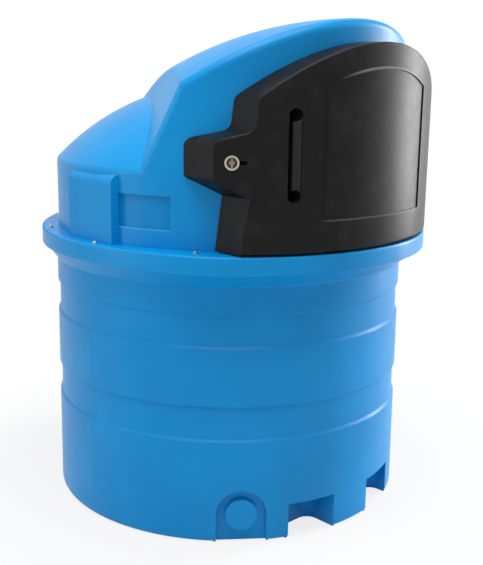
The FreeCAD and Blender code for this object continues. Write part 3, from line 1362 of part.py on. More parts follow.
def make_foot_valve():
    x = -s.suction_left
    foot = s.suction_foot - s.valve_height / 2
    wide = s.valve_radius
    body = along("valve_body", [
        (0, 0), (wide - s.valve_slope, 0), (wide, s.valve_slope), (wide, s.valve_height),
        (0, s.valve_height)],
        at(x, pump_y, foot))
    socket = drum("valve_socket", s.suction_radius, s.valve_height, x, pump_y, s.suction_foot)
    return cut("valve_whole", body, socket)


meter_x = -s.head_left + s.head_width / 2
meter_foot = s.shelf_height + s.head_height + s.outlet_length
meter_front = pump_y - s.meter_depth / 2


def make_meter():
    body = block("meter_block", s.meter_width, s.meter_depth, s.meter_height,
                 meter_x - s.meter_width / 2, meter_front, meter_foot)
    return rounded("meter_soft", body, s.meter_round, lambda edge: runs_along(edge, FRONT))


def make_elbow():
    top = meter_foot + s.meter_height
    turn_z = top + s.elbow_bend + s.elbow_rise
    return pipe("elbow_path", s.nipple_radius, s.pipe_wall,
                [(meter_x, pump_y, top), (meter_x, pump_y, turn_z),
                 (meter_x + s.elbow_bend + s.elbow_run, pump_y, turn_z)], s.elbow_bend)


def make_hose_tail():
    """The ribbed tail that a delivery hose pushes on to."""
    start = meter_x + s.elbow_bend + s.elbow_run
    height = meter_foot + s.meter_height + s.elbow_bend + s.elbow_rise
    collar = drum("tail_collar", s.tail_collar_radius, s.tail_collar, start, pump_y, height, turn=ALONG_X)
    stem = drum("tail_stem", s.tail_radius, s.tail_length, start + s.tail_collar, pump_y, height,
                turn=ALONG_X)
    bore = drum("tail_bore", s.tail_radius - s.pipe_wall, s.tail_length + s.cut_spare,
                start - s.pipe_wall, pump_y, height, turn=ALONG_X)
    return cut("tail_whole", fuse("tail_solid", collar, stem), bore)


# Small fittings: the vent and the probe on the inner tank, the filling pipe, the gauge and the cable entry

def make_vent():
    """A capped stem over a hole in the inner tank's top."""
    return along("vent_turned", [
        (0, -s.tank_wall), (s.vent_stem - s.loose, -s.tank_wall), (s.vent_stem - s.loose, 0),
        (s.vent_cap, 0), (s.vent_cap, s.vent_height), (0, s.vent_height)],
        at(-s.vent_left, s.vent_back, s.tank_top))


def make_probe():
    """A level probe: a head on the inner tank's top and a rod down to its floor."""
    x, y = s.probe_right, s.vent_back
    head = drum("probe_head_disc", s.probe_head, s.probe_head_height, x, y, s.tank_top)
    depth = s.tank_top - s.suction_foot
    rod = drum("probe_rod", s.probe_radius, depth, x, y, s.suction_foot)
    return fuse("probe_whole", head, rod)


def top_holes(name):
    """The holes in the inner tank's top for the vent, the probe and the filling pipe."""
    foot = s.tank_top - s.tank_wall * 2
    height = s.tank_wall * 4
    return [
        drum(name + "_vent_hole", s.vent_stem, height, -s.vent_left, s.vent_back, foot),
        drum(name + "_probe_hole", s.probe_radius + s.loose, height, s.probe_right, s.vent_back, foot),
        fill_hole(name, foot, height),
    ]


fill_y = -(s.cabinet_back + s.fill_gap)
fill_foot = s.tank_top - s.tank_wall * 3
fill_mouth = s.cabinet_floor + s.fill_lift


def fill_hole(name, foot, height):
    return drum(name + "_fill_hole", s.fill_radius + s.pipe_gap, height, s.fill_right, fill_y, foot)


def make_fill_pipe():
    height = fill_mouth - fill_foot
    tube = drum("fill_tube", s.fill_radius, height, s.fill_right, fill_y, fill_foot)
    return cut("fill_pipe_whole", tube,
               drum("fill_bore", s.fill_radius - s.pipe_wall, height, s.fill_right, fill_y, fill_foot))


def make_coupling():
    """A ring with two grooves' worth of width round the filling pipe's upper end."""
    foot = fill_mouth - s.coupling_length
    groove = s.coupling_length / 3
    low = s.coupling_radius - s.pipe_wall
    return along("coupling_turned", [
        (s.fill_radius, 0), (s.coupling_radius, 0), (s.coupling_radius, groove), (low, groove),
        (low, groove * 2), (s.coupling_radius, groove * 2), (s.coupling_radius, s.coupling_length),
        (s.fill_radius, s.coupling_length)], at(s.fill_right, fill_y, foot))


def make_cap():
    plate = drum("cap_plate", s.cap_radius, s.cap_length, s.fill_right, fill_y, fill_mouth)
    half = s.cap_bar / 2
    bar = block("cap_grip", s.cap_radius * 2 - s.cap_bar, s.cap_bar, s.cap_bar * 2,
                s.fill_right - s.cap_radius + half, fill_y - half, fill_mouth + s.cap_length - s.loose)
    return fuse("cap_whole", plate, bar)


gauge_front = -(s.cabinet_back + s.gauge_depth)
gauge_middle = s.cabinet_floor + s.gauge_lift + s.gauge_height / 2


def make_gauge():
    case = block("gauge_block", s.gauge_width, s.gauge_depth, s.gauge_height,
                 s.gauge_right - s.gauge_width / 2, gauge_front, gauge_middle - s.gauge_height / 2)
    return rounded("gauge_soft", case, s.gauge_round, lambda edge: runs_along(edge, FRONT))


def window(name, x, front, z, width, height):
    """A thin clear window on the front of a housing."""
    return block(name, width, s.display_thick, height, x - width / 2, front - s.display_thick,
                 z - height / 2)


def at_gland(item):
    turn = turn_from_front(s.gland_angle).multiply(Rotation(Vector(1, 0, 0), 90))
    item.Placement = Placement(Vector(0, 0, (s.rim_top + s.gland_lift).value), turn)
    return item


gland_inside = s.hood_radius - s.tub_wall - s.loose - s.gland_nut_height


def make_gland():
    """The cable gland in the hood's rear wall: a domed head outside and a threaded stem through the wall."""
    foot = gland_inside - s.gland_end
    seat = s.hood_radius + s.loose
    section = [
        (s.gland_bore, foot), (s.gland_thread, foot), (s.gland_thread, seat), (s.gland_radius, seat),
        (s.gland_radius, seat + s.gland_length / 2), (s.gland_thread, seat + s.gland_length),
        (s.gland_bore, seat + s.gland_length)]
    return at_gland(along("gland_turned", section, Placement()))


def make_gland_nut():
    return at_gland(make_ring("gland_nut_ring", gland_inside, s.gland_nut_height, s.gland_radius,
                              s.gland_thread))


def gland_hole():
    return at_gland(group("gland_hole", drum("gland_hole_bore", s.gland_thread + s.running, s.cut_spare * 3,
                                             z=s.hood_radius - s.cut_spare * 2)))


def small_screw(name, length):
    """A screw along its own axis: the head stands on the seat and the shank goes down from it."""
    head = drum(name + "_head", s.screw_head_radius, s.screw_head_height)
    shank = drum(name + "_shank", s.screw_radius, length, z=-length)
    return fuse(name, head, shank)


def shelf_screw_places():
    for side in (-1, 1):
        for drop in (s.shelf_bolt_drop, s.shelf_bolt_drop + s.shelf_bolt_step):
            yield s.shelf_bolt_side * side, s.shelf_height - drop


def make_shelf_screws():
    front = -(s.cabinet_back + s.shelf_thick)
    screws = []
    for number, (x, z) in enumerate(shelf_screw_places(), start=1):
        screw = small_screw("shelf_screw_%d" % number, s.shelf_thick + s.tub_wall)
        screw.Placement = at(x, front, z, TOWARD_FRONT)
        screws.append(screw)
    return fuse("shelf_screw_set", *screws)


def shelf_screw_holes(name):
    length = s.shelf_thick + s.tub_wall + s.cut_spare
    return [drum("%s_hole_%d" % (name, number), s.screw_radius, length, x, -(s.cabinet_back - s.tub_wall), z,
                 turn=TOWARD_FRONT)
            for number, (x, z) in enumerate(shelf_screw_places(), start=1)]


def bracket_screws(name, seat, length, head):
    """The screws, or their holes, that hold both hinge brackets to the hood's wall."""
    items = []
    for end, height in hinge_heights:
        for side in (-1, 1):
            label = "%s_%s_%d" % (name, end, side + 2)
            if head:
                whole = small_screw(label, length)
            else:
                whole = group(label, drum(label + "_rod", s.screw_radius, length, z=-length))
            angle = s.hinge_angle + s.bracket_screw_angle
            x = seat * sine(angle)
            y = -seat * cosine(angle)
            turn = turn_from_front(angle).multiply(TOWARD_FRONT)
            whole.Placement = at(x, y, height + s.bracket_screw_rise * side, turn)
            items.append(whole)
    return items


hinge_heights = (("lower", s.hinge_low), ("upper", s.hinge_high))
bracket_seat = s.hood_radius + s.bracket_base
door_body = fuse("door_with_lugs", make_door(), *[door_lug("lug_" + n, z) for n, z in hinge_heights])
door_bored = cut("door_bored", door_body,
                 *[pin_bore("lug_bore_" + n, s.hinge_pin_radius + s.running, z) for n, z in hinge_heights])
door_done = cut("door_done", door_bored, lock_cuts())
tub_done = cut("tub_done", make_tub(), *rim_holes("tub_rim_hole", flange_top - s.tub_wall * 2,
                                                  s.tub_wall * 3))
hood_bolted = cut("hood_bolted", make_hood(), *rim_holes("hood_rim_hole", s.rim_top - s.tub_wall * 2,
                                                          s.tub_wall * 3))
floor_cut = s.cabinet_floor - s.tub_wall * 2
bracket_screw_length = s.bracket_base + s.tub_wall
hood_done = cut("hood_done", hood_bolted, *pipe_holes("hood", floor_cut, s.tub_wall * 3),
                fill_hole("hood", floor_cut, s.tub_wall * 3), gland_hole(), *shelf_screw_holes("hood"),
                *bracket_screws("hood_hinge_hole", bracket_seat, bracket_screw_length + s.cut_spare, False))

keep(tub_done, "bund_tub")
keep(make_rim_seal(), "rim_seal")
keep(hood_done, "hood")
keep(fuse("screws", *round_rim("rim_screw", make_screw)), "rim_screws")
keep(fuse("washers", *round_rim("rim_washer", lambda name: make_ring(
    name, s.rim_top, s.washer_height, s.washer_radius, s.bolt_radius))), "rim_washers")
keep(fuse("nuts", *round_rim("rim_nut", make_nut)), "rim_nuts")
keep(make_inner_tank(), "inner_tank")
keep(make_lid(), "inspection_lid")
keep(make_weather_strip(), "door_seal")
for name, height in hinge_heights:
    bracket_holes = bracket_screws("bracket_hole_" + name, bracket_seat + s.cut_spare,
                                   bracket_screw_length + s.cut_spare * 2, False)
    keep(cut("bracket_done_" + name, make_bracket("bracket_" + name, height), *bracket_holes),
         "hinge_bracket_" + name)
    keep(make_hinge_pin("pin_" + name, height), "hinge_pin_" + name)
keep(make_keeper(), "lock_keeper")
keep(fuse("hinge_screw_set", *bracket_screws("hinge_screw", bracket_seat, bracket_screw_length, True)),
     "hinge_screws")
keep(cut("shelf_done", make_shelf(), *shelf_screw_holes("shelf")), "pump_shelf")
keep(make_shelf_screws(), "shelf_screws")
keep(make_pump_head(), "pump_head")
keep(make_motor(), "pump_motor")
keep(make_motor_cover(), "motor_cover")
keep(make_terminal_box(), "terminal_box")
keep(make_switch(), "pump_switch")
keep(drum("inlet_nipple_rod", s.nipple_radius, s.nipple_length, -s.head_left - s.nipple_length, pump_y,
          pump_z, turn=ALONG_X), "inlet_nipple")
keep(make_filter_head(), "filter_head")
keep(make_bowl(), "filter_bowl")
keep(make_suction_pipe(), "suction_pipe")
keep(make_foot_valve(), "foot_valve")
keep(drum("outlet_nipple_rod", s.nipple_radius, s.outlet_length, meter_x, pump_y,
          s.shelf_height + s.head_height), "outlet_nipple")
keep(make_meter(), "flow_meter")
keep(make_elbow(), "outlet_elbow")
keep(make_hose_tail(), "hose_tail")
keep(window("meter_window", meter_x, meter_front, meter_foot + s.display_lift + s.display_height / 2,
            s.display_width, s.display_height), "meter_display")
keep(make_vent(), "vent_cap")
keep(make_probe(), "level_probe")
keep(make_fill_pipe(), "fill_pipe")
keep(make_coupling(), "fill_coupling")
keep(make_cap(), "fill_cap")
keep(make_gauge(), "gauge_display")
keep(window("gauge_window_plate", s.gauge_right, gauge_front, gauge_middle, s.window_width,
            s.window_height), "gauge_window")
keep(make_gland(), "cable_gland")
keep(make_gland_nut(), "gland_nut")
keep(door_done, "door")
keep(make_lock_housing(), "lock_housing")
keep(make_lock_nut(), "lock_nut")
keep(make_lock_barrel(), "lock_barrel")
keep(make_lock_cam(), "lock_cam")

doc.recompute()


def check(document):
    """Stop if any object failed, or any sub-part is empty, broken or not closed."""
    failed = [item.Label for item in document.Objects if "Invalid" in item.State or "Error" in item.State]
    if failed:
        raise RuntimeError("these did not build: %s" % ", ".join(failed))
    for item in nodes:
        shape = item.Shape
        if shape.isNull() or not shape.isValid() or not shape.Solids:
            raise RuntimeError("%s has no sound solid" % item.Label)


check(doc)
os.makedirs("parts", exist_ok=True)
for item in nodes:
    item.Shape.exportStep(os.path.join("parts", item.Label + ".step"))
    print(item.Label, len(item.Shape.Solids), round(item.Shape.Volume / 1e6, 3), "litres")
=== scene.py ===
# %% [markdown]
# # A round fluid tank with a cowled pump cabinet
# The tank is a moulded plastic bund with a hood on top. A dark curved door closes the cabinet under the
# hood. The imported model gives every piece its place, and this file gives each one its finish.

# %% Load the frame
import math

import bpy
import numpy as np
from mathutils import Matrix, Vector


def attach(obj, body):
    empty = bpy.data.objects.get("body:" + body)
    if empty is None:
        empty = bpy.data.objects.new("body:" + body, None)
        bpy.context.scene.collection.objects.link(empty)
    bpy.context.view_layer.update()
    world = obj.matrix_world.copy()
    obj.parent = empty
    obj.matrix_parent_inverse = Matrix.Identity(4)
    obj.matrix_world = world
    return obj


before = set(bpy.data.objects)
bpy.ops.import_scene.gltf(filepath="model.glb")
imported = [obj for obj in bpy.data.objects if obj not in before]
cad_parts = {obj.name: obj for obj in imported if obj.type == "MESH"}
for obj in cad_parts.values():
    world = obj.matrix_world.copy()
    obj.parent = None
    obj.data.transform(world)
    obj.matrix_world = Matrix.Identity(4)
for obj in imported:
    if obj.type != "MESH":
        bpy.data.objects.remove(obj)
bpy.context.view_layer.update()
print("pieces in the frame:", len(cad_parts))

# %% [markdown]
# ## The camera
# The photograph was taken from the tank's front left, from a little above its rim, looking slightly down.
# A camera can be placed by hand, or worked out from points whose real places are known. The second way was
# used here, and its result is kept as a place, three angles and a lens.

# %% Place the camera
CAMERA_PLACE = Vector((-2.57212, -2.75827, 1.66983))
CAMERA_HEADING = 43.0 + 0.8232  # degrees round from +Y towards +X
CAMERA_TILT = 12.8845           # degrees below level
CAMERA_ROLL = -0.7855           # degrees about the line of sight
CAMERA_LENS = 59.17             # millimetres, on the image's long side


def aim(heading, tilt, roll):
    """The camera's right, up and backward directions from its heading, its tilt and its roll.

    Forward is level along the heading, then dropped by the tilt. Right is level, at a right angle to the
    heading. Both cross directions are then turned about the line of sight by the roll.
    """
    heading, tilt, roll = (math.radians(angle) for angle in (heading, tilt, roll))
    level_share = math.cos(tilt)
    ahead = Vector((math.sin(heading) * level_share, math.cos(heading) * level_share, -math.sin(tilt)))
    level = Vector((math.cos(heading), -math.sin(heading), 0.0))
    down = ahead.cross(level)
    right = level * math.cos(roll) + down * math.sin(roll)
    under = level * -math.sin(roll) + down * math.cos(roll)
    return right, -under, -ahead


lens = bpy.data.cameras.new("camera")
lens.lens = CAMERA_LENS
lens.sensor_width = 36.0
lens.clip_end = 100.0
camera = bpy.data.objects.new("camera", lens)
camera.matrix_world = Matrix.Translation(CAMERA_PLACE) @ Matrix(
    aim(CAMERA_HEADING, CAMERA_TILT, CAMERA_ROLL)).transposed().to_4x4()
bpy.context.scene.collection.objects.link(camera)
bpy.context.scene.camera = camera
bpy.context.scene.view_settings.view_transform = "Standard"
print("camera at", tuple(round(value, 3) for value in CAMERA_PLACE))

# %% [markdown]
# ## Shader maths as plain expressions
# A finish mixes a few patterns: a slow drift of colour, a fine grain, painted shade in the hollows. Nodes can
# be joined by hand, one link at a time. Here a small class wraps a socket, so that the sum or product of two
# patterns is written as in arithmetic and adds its own Math node.

# %% Wrap a socket
class Flow:
    """A value that runs through the nodes: arithmetic on it adds Math nodes."""

    def __init__(self, paint, socket):
        self.paint = paint
        self.socket = socket

    def _math(self, operation, *values):
        return self.paint.node("ShaderNodeMath", {"operation": operation}, dict(enumerate(values)))

    def __add__(self, other):
        return self._math("ADD", self, other)

    def __sub__(self, other):
        return self._math("SUBTRACT", self, other)

    def __mul__(self, other):
        return self._math("MULTIPLY", self, other)

    def __truediv__(self, other):
        return self._math("DIVIDE", self, other)

    def __rsub__(self, other):
        return self._math("SUBTRACT", other, self)

    __radd__ = __add__
    __rmul__ = __mul__

    def clamp(self):
        """The value held between 0 and 1."""
        return self.paint.node("ShaderNodeClamp", {}, {0: self})

    def power(self, exponent):
        return self._math("POWER", self, exponent)

    def size(self):
        """The value without its sign."""
        return self._math("ABSOLUTE", self)

    def step(self, low, high):
        """0 below low, 1 above high, and a smooth rise between."""
        settings = {"interpolation_type": "SMOOTHSTEP"}
        return self.paint.node("ShaderNodeMapRange", settings, {0: self, 1: low, 2: high})

    def band(self, low, high, soft):
        """1 between low and high, and 0 outside, with soft borders of that width."""
        return self.step(low - soft, low + soft) * (1.0 - self.step(high - soft, high + soft))


class Paint:
    """One material and the few moves that this file makes in it."""

    def __init__(self, name, color, roughness, **constants):
        self.material = bpy.data.materials.new(name)
        self.material.use_nodes = True
        self.tree = self.material.node_tree
        self.shader = self.tree.nodes["Principled BSDF"]
        self.material.diffuse_color = (*color, 1.0)
        self.set("Base Color", (*color, 1.0))
        self.set("Roughness", roughness)
        for socket, value in constants.items():
            self.set(socket.replace("_", " "), value)

    def set(self, name, value):
        """Put a number, a colour or a flow into one of the shader's sockets."""
        self.put(self.shader.inputs[name], value)

    def put(self, socket, value):
        """Link a flow to a socket, or write a value into it."""
        if isinstance(value, Flow):
            self.tree.links.new(value.socket, socket)
        else:
            socket.default_value = value

    def node(self, kind, settings, inputs, output=0):
        """Add a node: its settings first, then the values or links of its sockets."""
        item = self.tree.nodes.new(kind)
        for name, value in settings.items():
            setattr(item, name, value)
        for key, value in inputs.items():
            self.put(item.inputs[key], value)
        return Flow(self, item.outputs[output])

    def place(self):
        """Where the point is on the object, in metres."""
        return self.node("ShaderNodeTexCoord", {}, {}, "Object")

    def stretched(self, scale):
        """The point's place, scaled along each axis."""
        return self.node("ShaderNodeMapping", {}, {0: self.place(), "Scale": scale})

    def noise(self, scale, detail=3.0, roughness=0.55, at=None):
        """A cloudy pattern round 0.5, with about `scale` clouds to the metre."""
        inputs = {"Vector": at or self.place(), "Scale": scale, "Detail": detail, "Roughness": roughness}
        return self.node("ShaderNodeTexNoise", {}, inputs, 0)

    def part(self, axis):
        """One coordinate of the point's place: X, Y or Z."""
        return self.node("ShaderNodeSeparateXYZ", {}, {0: self.place()}, axis)

    def round_angle(self):
        """The angle round the tank in degrees, 0 at the door's middle and rising to the right."""
        ahead = 0.0 - self.part(1)
        angle = self.node("ShaderNodeMath", {"operation": "ARCTAN2"}, {0: self.part(0), 1: ahead})
        return angle * math.degrees(1.0)

    def blend(self, amount, first, second):
        """One colour where the amount is 0, the other where it is 1."""
        settings = {"data_type": "RGBA", "clamp_factor": True}
        colors = [value if isinstance(value, Flow) else (*value, 1.0) for value in (first, second)]
        return self.node("ShaderNodeMix", settings, {0: amount, 6: colors[0], 7: colors[1]}, 2)

    def bump(self, height, distance, strength=1.0, under=None):
        """Turn a height into a bend of the surface's normal; distance is in metres."""
        inputs = {"Height": height, "Distance": distance, "Strength": strength}
        if under is not None:
            inputs["Normal"] = under
        return self.node("ShaderNodeBump", {}, inputs)


def srgb(red, green, blue):
    """A colour as it is seen on a screen, from 0 to 255, turned into the linear values of the shader."""
    def linear(value):
        value = value / 255.0
        return value / 12.92 if value <= 0.04045 else ((value + 0.055) / 1.055) ** 2.4
    return tuple(linear(value) for value in (red, green, blue))


def dress(paint, *nodes):
    """Give the finish to CAD nodes, in their own material slots."""
    for name in nodes:
        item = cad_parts[name]
        item.data.materials.clear()
        item.data.materials.append(paint.material)


print("shader helpers ready")

# %% [markdown]
# ## The blue polyethylene
# The bund and the hood are rotation moulded: powder melts in a turning mould. The skin has a satin gloss, a
# very slight waviness and a fine orange peel, and its colour drifts a little. A plain colour would look
# like paint, so the drift, the waviness and the peel are three noises of different size. The bund also gets
# a few pale scuffs low down, where forks and pallets touch it.

# %% Mix the blue plastic
BLUE = srgb(0, 147, 215)
BLUE_DEEP = srgb(0, 137, 204)
SCUFF = srgb(70, 170, 220)
# painted shade inside the hood's sunk panel, and a painted highlight on its lower lip
PANEL_PAINTED_SHADE = srgb(0, 112, 172)
PANEL_LIP_PAINTED_HIGHLIGHT = srgb(60, 172, 232)
PANEL_LEFT, PANEL_RIGHT = -77.2, -59.9  # degrees from the door's middle
PANEL_FOOT, PANEL_TOP = 1.135, 1.250


def sunk_panel_painted_light(paint, color):
    """Paint shade into the hood's sunk panel, deepest at its edges, and a highlight onto its lower lip."""
    angle, height = paint.round_angle(), paint.part(2)
    inside = angle.band(PANEL_LEFT, PANEL_RIGHT, 0.2) * height.band(PANEL_FOOT, PANEL_TOP, 0.002)
    middle = angle.band(PANEL_LEFT, PANEL_RIGHT - 0.5, 0.2) * height.band(
        PANEL_FOOT + 0.004, PANEL_TOP - 0.005, 0.004)
    lip = angle.band(PANEL_LEFT, PANEL_RIGHT, 0.3) * height.band(
        PANEL_FOOT - 0.006, PANEL_FOOT + 0.001, 0.002)
    # painted shade in the recess, lighter in its middle, then a painted highlight on the lower lip
    shaded = paint.blend(inside * 0.55 - middle * 0.25, color, PANEL_PAINTED_SHADE)
    return paint.blend(lip * 0.6, shaded, PANEL_LIP_PAINTED_HIGHLIGHT)


def moulded_blue(name, scuffed):
    """The blue skin, with pale scuffs low down, or else with painted shade and highlight on the hood's sunk
    panel.
    """
    paint = Paint(name, BLUE, 0.34, IOR=1.42, Specular_IOR_Level=0.3)
    drift = paint.noise(2.6, 4.0)
    color = paint.blend(drift.step(0.32, 0.68), BLUE_DEEP, BLUE)
    if scuffed:
        streaks = paint.noise(9.0, 6.0, 0.7, paint.stretched((1.0, 1.0, 4.0)))
        low = 1.0 - paint.part(2).step(0.02, 0.32)
        color = paint.blend((streaks.step(0.60, 0.74) * low * 0.35).clamp(), color, SCUFF)
    else:
        color = sunk_panel_painted_light(paint, color)
    paint.set("Base Color", color)
    paint.set("Roughness", 0.30 + paint.noise(22.0, 3.0) * 0.14)
    wave = paint.bump(paint.noise(4.5, 1.0), 0.006, 0.5)
    peel = paint.bump(paint.noise(380.0, 2.0), 0.00025, 0.5, wave)
    paint.set("Normal", peel)
    return paint


bund_blue = moulded_blue("bund_blue", True)
hood_blue = moulded_blue("hood_blue", False)
dress(bund_blue, "bund_tub")
dress(hood_blue, "hood")
inner = Paint("inner_blue", srgb(64, 132, 186), 0.5, IOR=1.42)
inner.set("Roughness", 0.42 + inner.noise(40.0, 3.0) * 0.2)
inner.set("Normal", inner.bump(inner.noise(60.0, 3.0), 0.0012, 0.6))
dress(inner, "inner_tank")
print("blue finish on the bund, the hood and the inner tank")

# %% [markdown]
# ## The black and charcoal plastics
# The door is moulded like the hood, from charcoal powder. The small fittings are injection moulded, with a
# spark-eroded grain. Both are dark, so what the eye reads is the sheen: its roughness has to vary, or the
# piece looks like a hole in the picture.

# %% Mix the dark plastics
def dark_plastic(name, color, roughness, grain, depth):
    """Moulded plastic with a fine grain; grain is in clouds to the metre and depth in metres."""
    paint = Paint(name, color, roughness, IOR=1.46, Specular_IOR_Level=0.3)
    worn = paint.noise(14.0, 4.0)
    lighter = tuple(min(value * 1.5 + 0.004, 1.0) for value in color)
    paint.set("Base Color", paint.blend(worn.step(0.45, 0.75), color, lighter))
    paint.set("Roughness", roughness - 0.07 + paint.noise(26.0, 3.0) * 0.14)
    paint.set("Normal", paint.bump(paint.noise(grain, 2.0), depth, 0.6))
    return paint


dress(dark_plastic("black_plastic", srgb(30, 30, 32), 0.46, 900.0, 0.00015),
      "hinge_bracket_lower", "hinge_bracket_upper", "motor_cover", "terminal_box", "filter_head",
      "flow_meter", "gauge_display", "cable_gland", "gland_nut", "vent_cap", "level_probe", "fill_cap",
      "inspection_lid")
dress(dark_plastic("black_rubber", srgb(24, 24, 24), 0.75, 1400.0, 0.0002), "rim_seal", "door_seal")
dress(dark_plastic("switch_red", srgb(176, 22, 18), 0.32, 700.0, 0.0001), "pump_switch")
dress(dark_plastic("white_plastic", srgb(205, 208, 206), 0.38, 500.0, 0.0002), "suction_pipe", "foot_valve")
print("dark plastics and rubber mixed")

# %% [markdown]
# ## The door
# The door is one large dark moulding, so a single even finish would look empty. On the real one the edges of
# the sunk panel catch the light and its hollows lie in shade. Here both are painted into the colour: painted
# highlights on the panel's edges, and painted shade down its left edge and in the hollows. Both follow from
# places that are known in metres, so they are written as bands of a coordinate, and the door needs no texture
# of its own.

# %% Finish the door
CHARCOAL = srgb(20, 19, 20)
LOCK_ANGLE, LOCK_HEIGHT = math.radians(-42.5), 1.379
INSET_ARC_MIDDLE, INSET_ARC, INSET_FOOT, INSET_HALF = 1.095, 0.588, 1.185, 0.262
SLOT_START, SLOT_END, SLOT_HALF = 0.0225, 0.0495, 0.0065  # beside the lock, to the right of its axis
FINGER_START, FINGER_END = -0.0212, -0.0098               # beside the middle of the handle
GRIP_X, GRIP_FOOT, GRIP_TOP, GRIP_RADIUS = -0.360, 1.268, 1.532, 0.021


def from_lock(paint):
    """How far the point lies to the right of the lock's axis, and how far above it."""
    right = paint.part(0) * math.cos(LOCK_ANGLE) + paint.part(1) * math.sin(LOCK_ANGLE)
    return right, paint.part(2) - LOCK_HEIGHT


def moulded_door():
    """The charcoal door: painted highlights on the edges of its sunk panel, and painted shade on its left edge
    and in its pits and slots.

    The panel's upper edge is an arc about a point far below it, and its lower edge is level. Both catch a
    little light, which is painted in as a highlight. In the hollows the shader goes over to a near-black one
    without any gloss, as their painted shade.
    """
    paint = dark_plastic("door_charcoal", CHARCOAL, 0.40, 520.0, 0.00022)
    paint.set("Specular IOR Level", 0.16)
    east, height = paint.part(0), paint.part(2)
    rise = height - INSET_ARC_MIDDLE
    arc = (east * east + rise * rise).power(0.5)
    # painted highlight: strongest left of the middle along the panel's upper arc, and weaker along its lower
    # edge
    brightest = 0.75 - (east + 0.10).size() * 1.7
    upper = arc.band(INSET_ARC - 0.003, INSET_ARC + 0.005, 0.004) * east.band(-0.170, 0.250, 0.06) * brightest
    lower = height.band(INSET_FOOT - 0.004, INSET_FOOT + 0.001, 0.003) * east.band(-0.255, 0.235, 0.02)
    # painted shade down the panel's left edge, where its rounded side turns away from the light
    side = east.band(-INSET_HALF - 0.010, -INSET_HALF + 0.012, 0.008) * height.band(1.19, 1.60, 0.03)
    plain = Flow(paint, paint.shader.inputs["Base Color"].links[0].from_socket)
    shaded = paint.blend(side * 0.8, plain, (0.001, 0.001, 0.001))
    paint.set("Base Color", paint.blend((upper + lower * 0.28).clamp(), shaded, srgb(150, 153, 148)))

    right, up = from_lock(paint)
    hollow = right.band(SLOT_START, SLOT_END, 0.001) * up.band(-SLOT_HALF, SLOT_HALF, 0.001)
    across = east - GRIP_X
    for pit in (GRIP_FOOT, GRIP_TOP):
        rise = height - pit
        off = (across * across + rise * rise).power(0.5)
        hollow = hollow + (1.0 - off.step(GRIP_RADIUS - 0.0015, GRIP_RADIUS - 0.0005))
    finger_slot = across.band(FINGER_START, FINGER_END, 0.0006) * height.band(GRIP_FOOT, GRIP_TOP, 0.002)
    hollow = hollow + finger_slot
    # a dull near-black shader painted into the lock's slot, the pits and the finger slot as their shade
    hollow_painted_shade = {"Color": (0.003, 0.003, 0.003, 1.0), "Roughness": 1.0}
    dull = paint.node("ShaderNodeBsdfDiffuse", {}, hollow_painted_shade)
    glossy = Flow(paint, paint.shader.outputs[0])
    paint.put(paint.tree.nodes["Material Output"].inputs["Surface"], paint.node(
        "ShaderNodeMixShader", {}, {0: hollow.clamp() * 0.9, 1: glossy, 2: dull}))
    return paint


door_charcoal = moulded_door()
dress(door_charcoal, "door")
print("door finished:", door_charcoal.material.name)

# %% [markdown]
# ## The metals
# Turned and rolled steel carries fine parallel marks. They come from a noise that is squeezed along one axis,
# and they bend the normal and change the roughness together. The lock is plated zinc with a warm tint.

# %% Mix the metals
def brushed(name, color, roughness, squeeze, tarnish):
    """Metal with fine marks along one axis, and a slow stain of a darker colour."""
    paint = Paint(name, color, roughness, Metallic=1.0)
    marks = paint.noise(60.0, 3.0, 0.6, paint.stretched(squeeze))
    stain = paint.noise(30.0, 4.0)
    paint.set("Base Color", paint.blend(stain.step(0.48, 0.8), color, tarnish))
    paint.set("Roughness", roughness - 0.08 + marks * 0.16)
    paint.set("Normal", paint.bump(marks, 0.0001, 0.5))
    return paint


STEEL = srgb(196, 197, 194)
dress(brushed("stainless", STEEL, 0.32, (12.0, 12.0, 1.0), srgb(150, 150, 146)),
      "rim_screws", "rim_washers", "rim_nuts", "hinge_pin_lower", "hinge_pin_upper", "hinge_screws",
      "lock_cam", "lock_keeper", "shelf_screws", "inlet_nipple", "outlet_nipple", "outlet_elbow",
      "hose_tail", "fill_pipe", "fill_coupling")
dress(brushed("barrel_metal", srgb(142, 136, 120), 0.34, (1.0, 1.0, 10.0), srgb(110, 104, 88)), "lock_barrel")
print("steel and barrel metal mixed")

# %% [markdown]
# ## The lock's ring
# The ring is bright, and the face inside it is nearly black. One material does both: it turns from metal to
# black where the distance from the lock's axis gets smaller than the ring's bore.

# %% Blacken the inside of the ring
RING_BORE = 0.017
ring_metal = brushed("ring_metal", srgb(186, 180, 162), 0.28, (1.0, 1.0, 10.0), srgb(140, 132, 108))
beside, above = from_lock(ring_metal)
metal = (beside * beside + above * above).power(0.5).step(RING_BORE + 0.0002, RING_BORE + 0.0012)
bare = Flow(ring_metal, ring_metal.shader.inputs["Base Color"].links[0].from_socket)
ring_metal.set("Base Color", ring_metal.blend(metal, (0.004, 0.004, 0.003), bare))
ring_metal.set("Metallic", metal)
dress(ring_metal, "lock_housing", "lock_nut")
print("lock's ring finished")

# %% [markdown]
# ## The sprayed pieces
# The pump's motor and its shelf are sprayed steel. A thin clear coat over the paint gives the second, sharper
# gloss, and the colour drifts towards a darker tone where the coat is thin.

# %% Mix the enamels
def enamel(name, color, roughness):
    """Sprayed paint: a smooth coat with a slight orange peel."""
    paint = Paint(name, color, roughness, Coat_Weight=0.3, Coat_Roughness=0.2)
    darker = tuple(value * 0.8 for value in color)
    paint.set("Base Color", paint.blend(paint.noise(18.0, 4.0).step(0.4, 0.7), color, darker))
    paint.set("Roughness", roughness + paint.noise(45.0, 2.0) * 0.1)
    paint.set("Normal", paint.bump(paint.noise(260.0, 2.0), 0.0003, 0.5))
    return paint


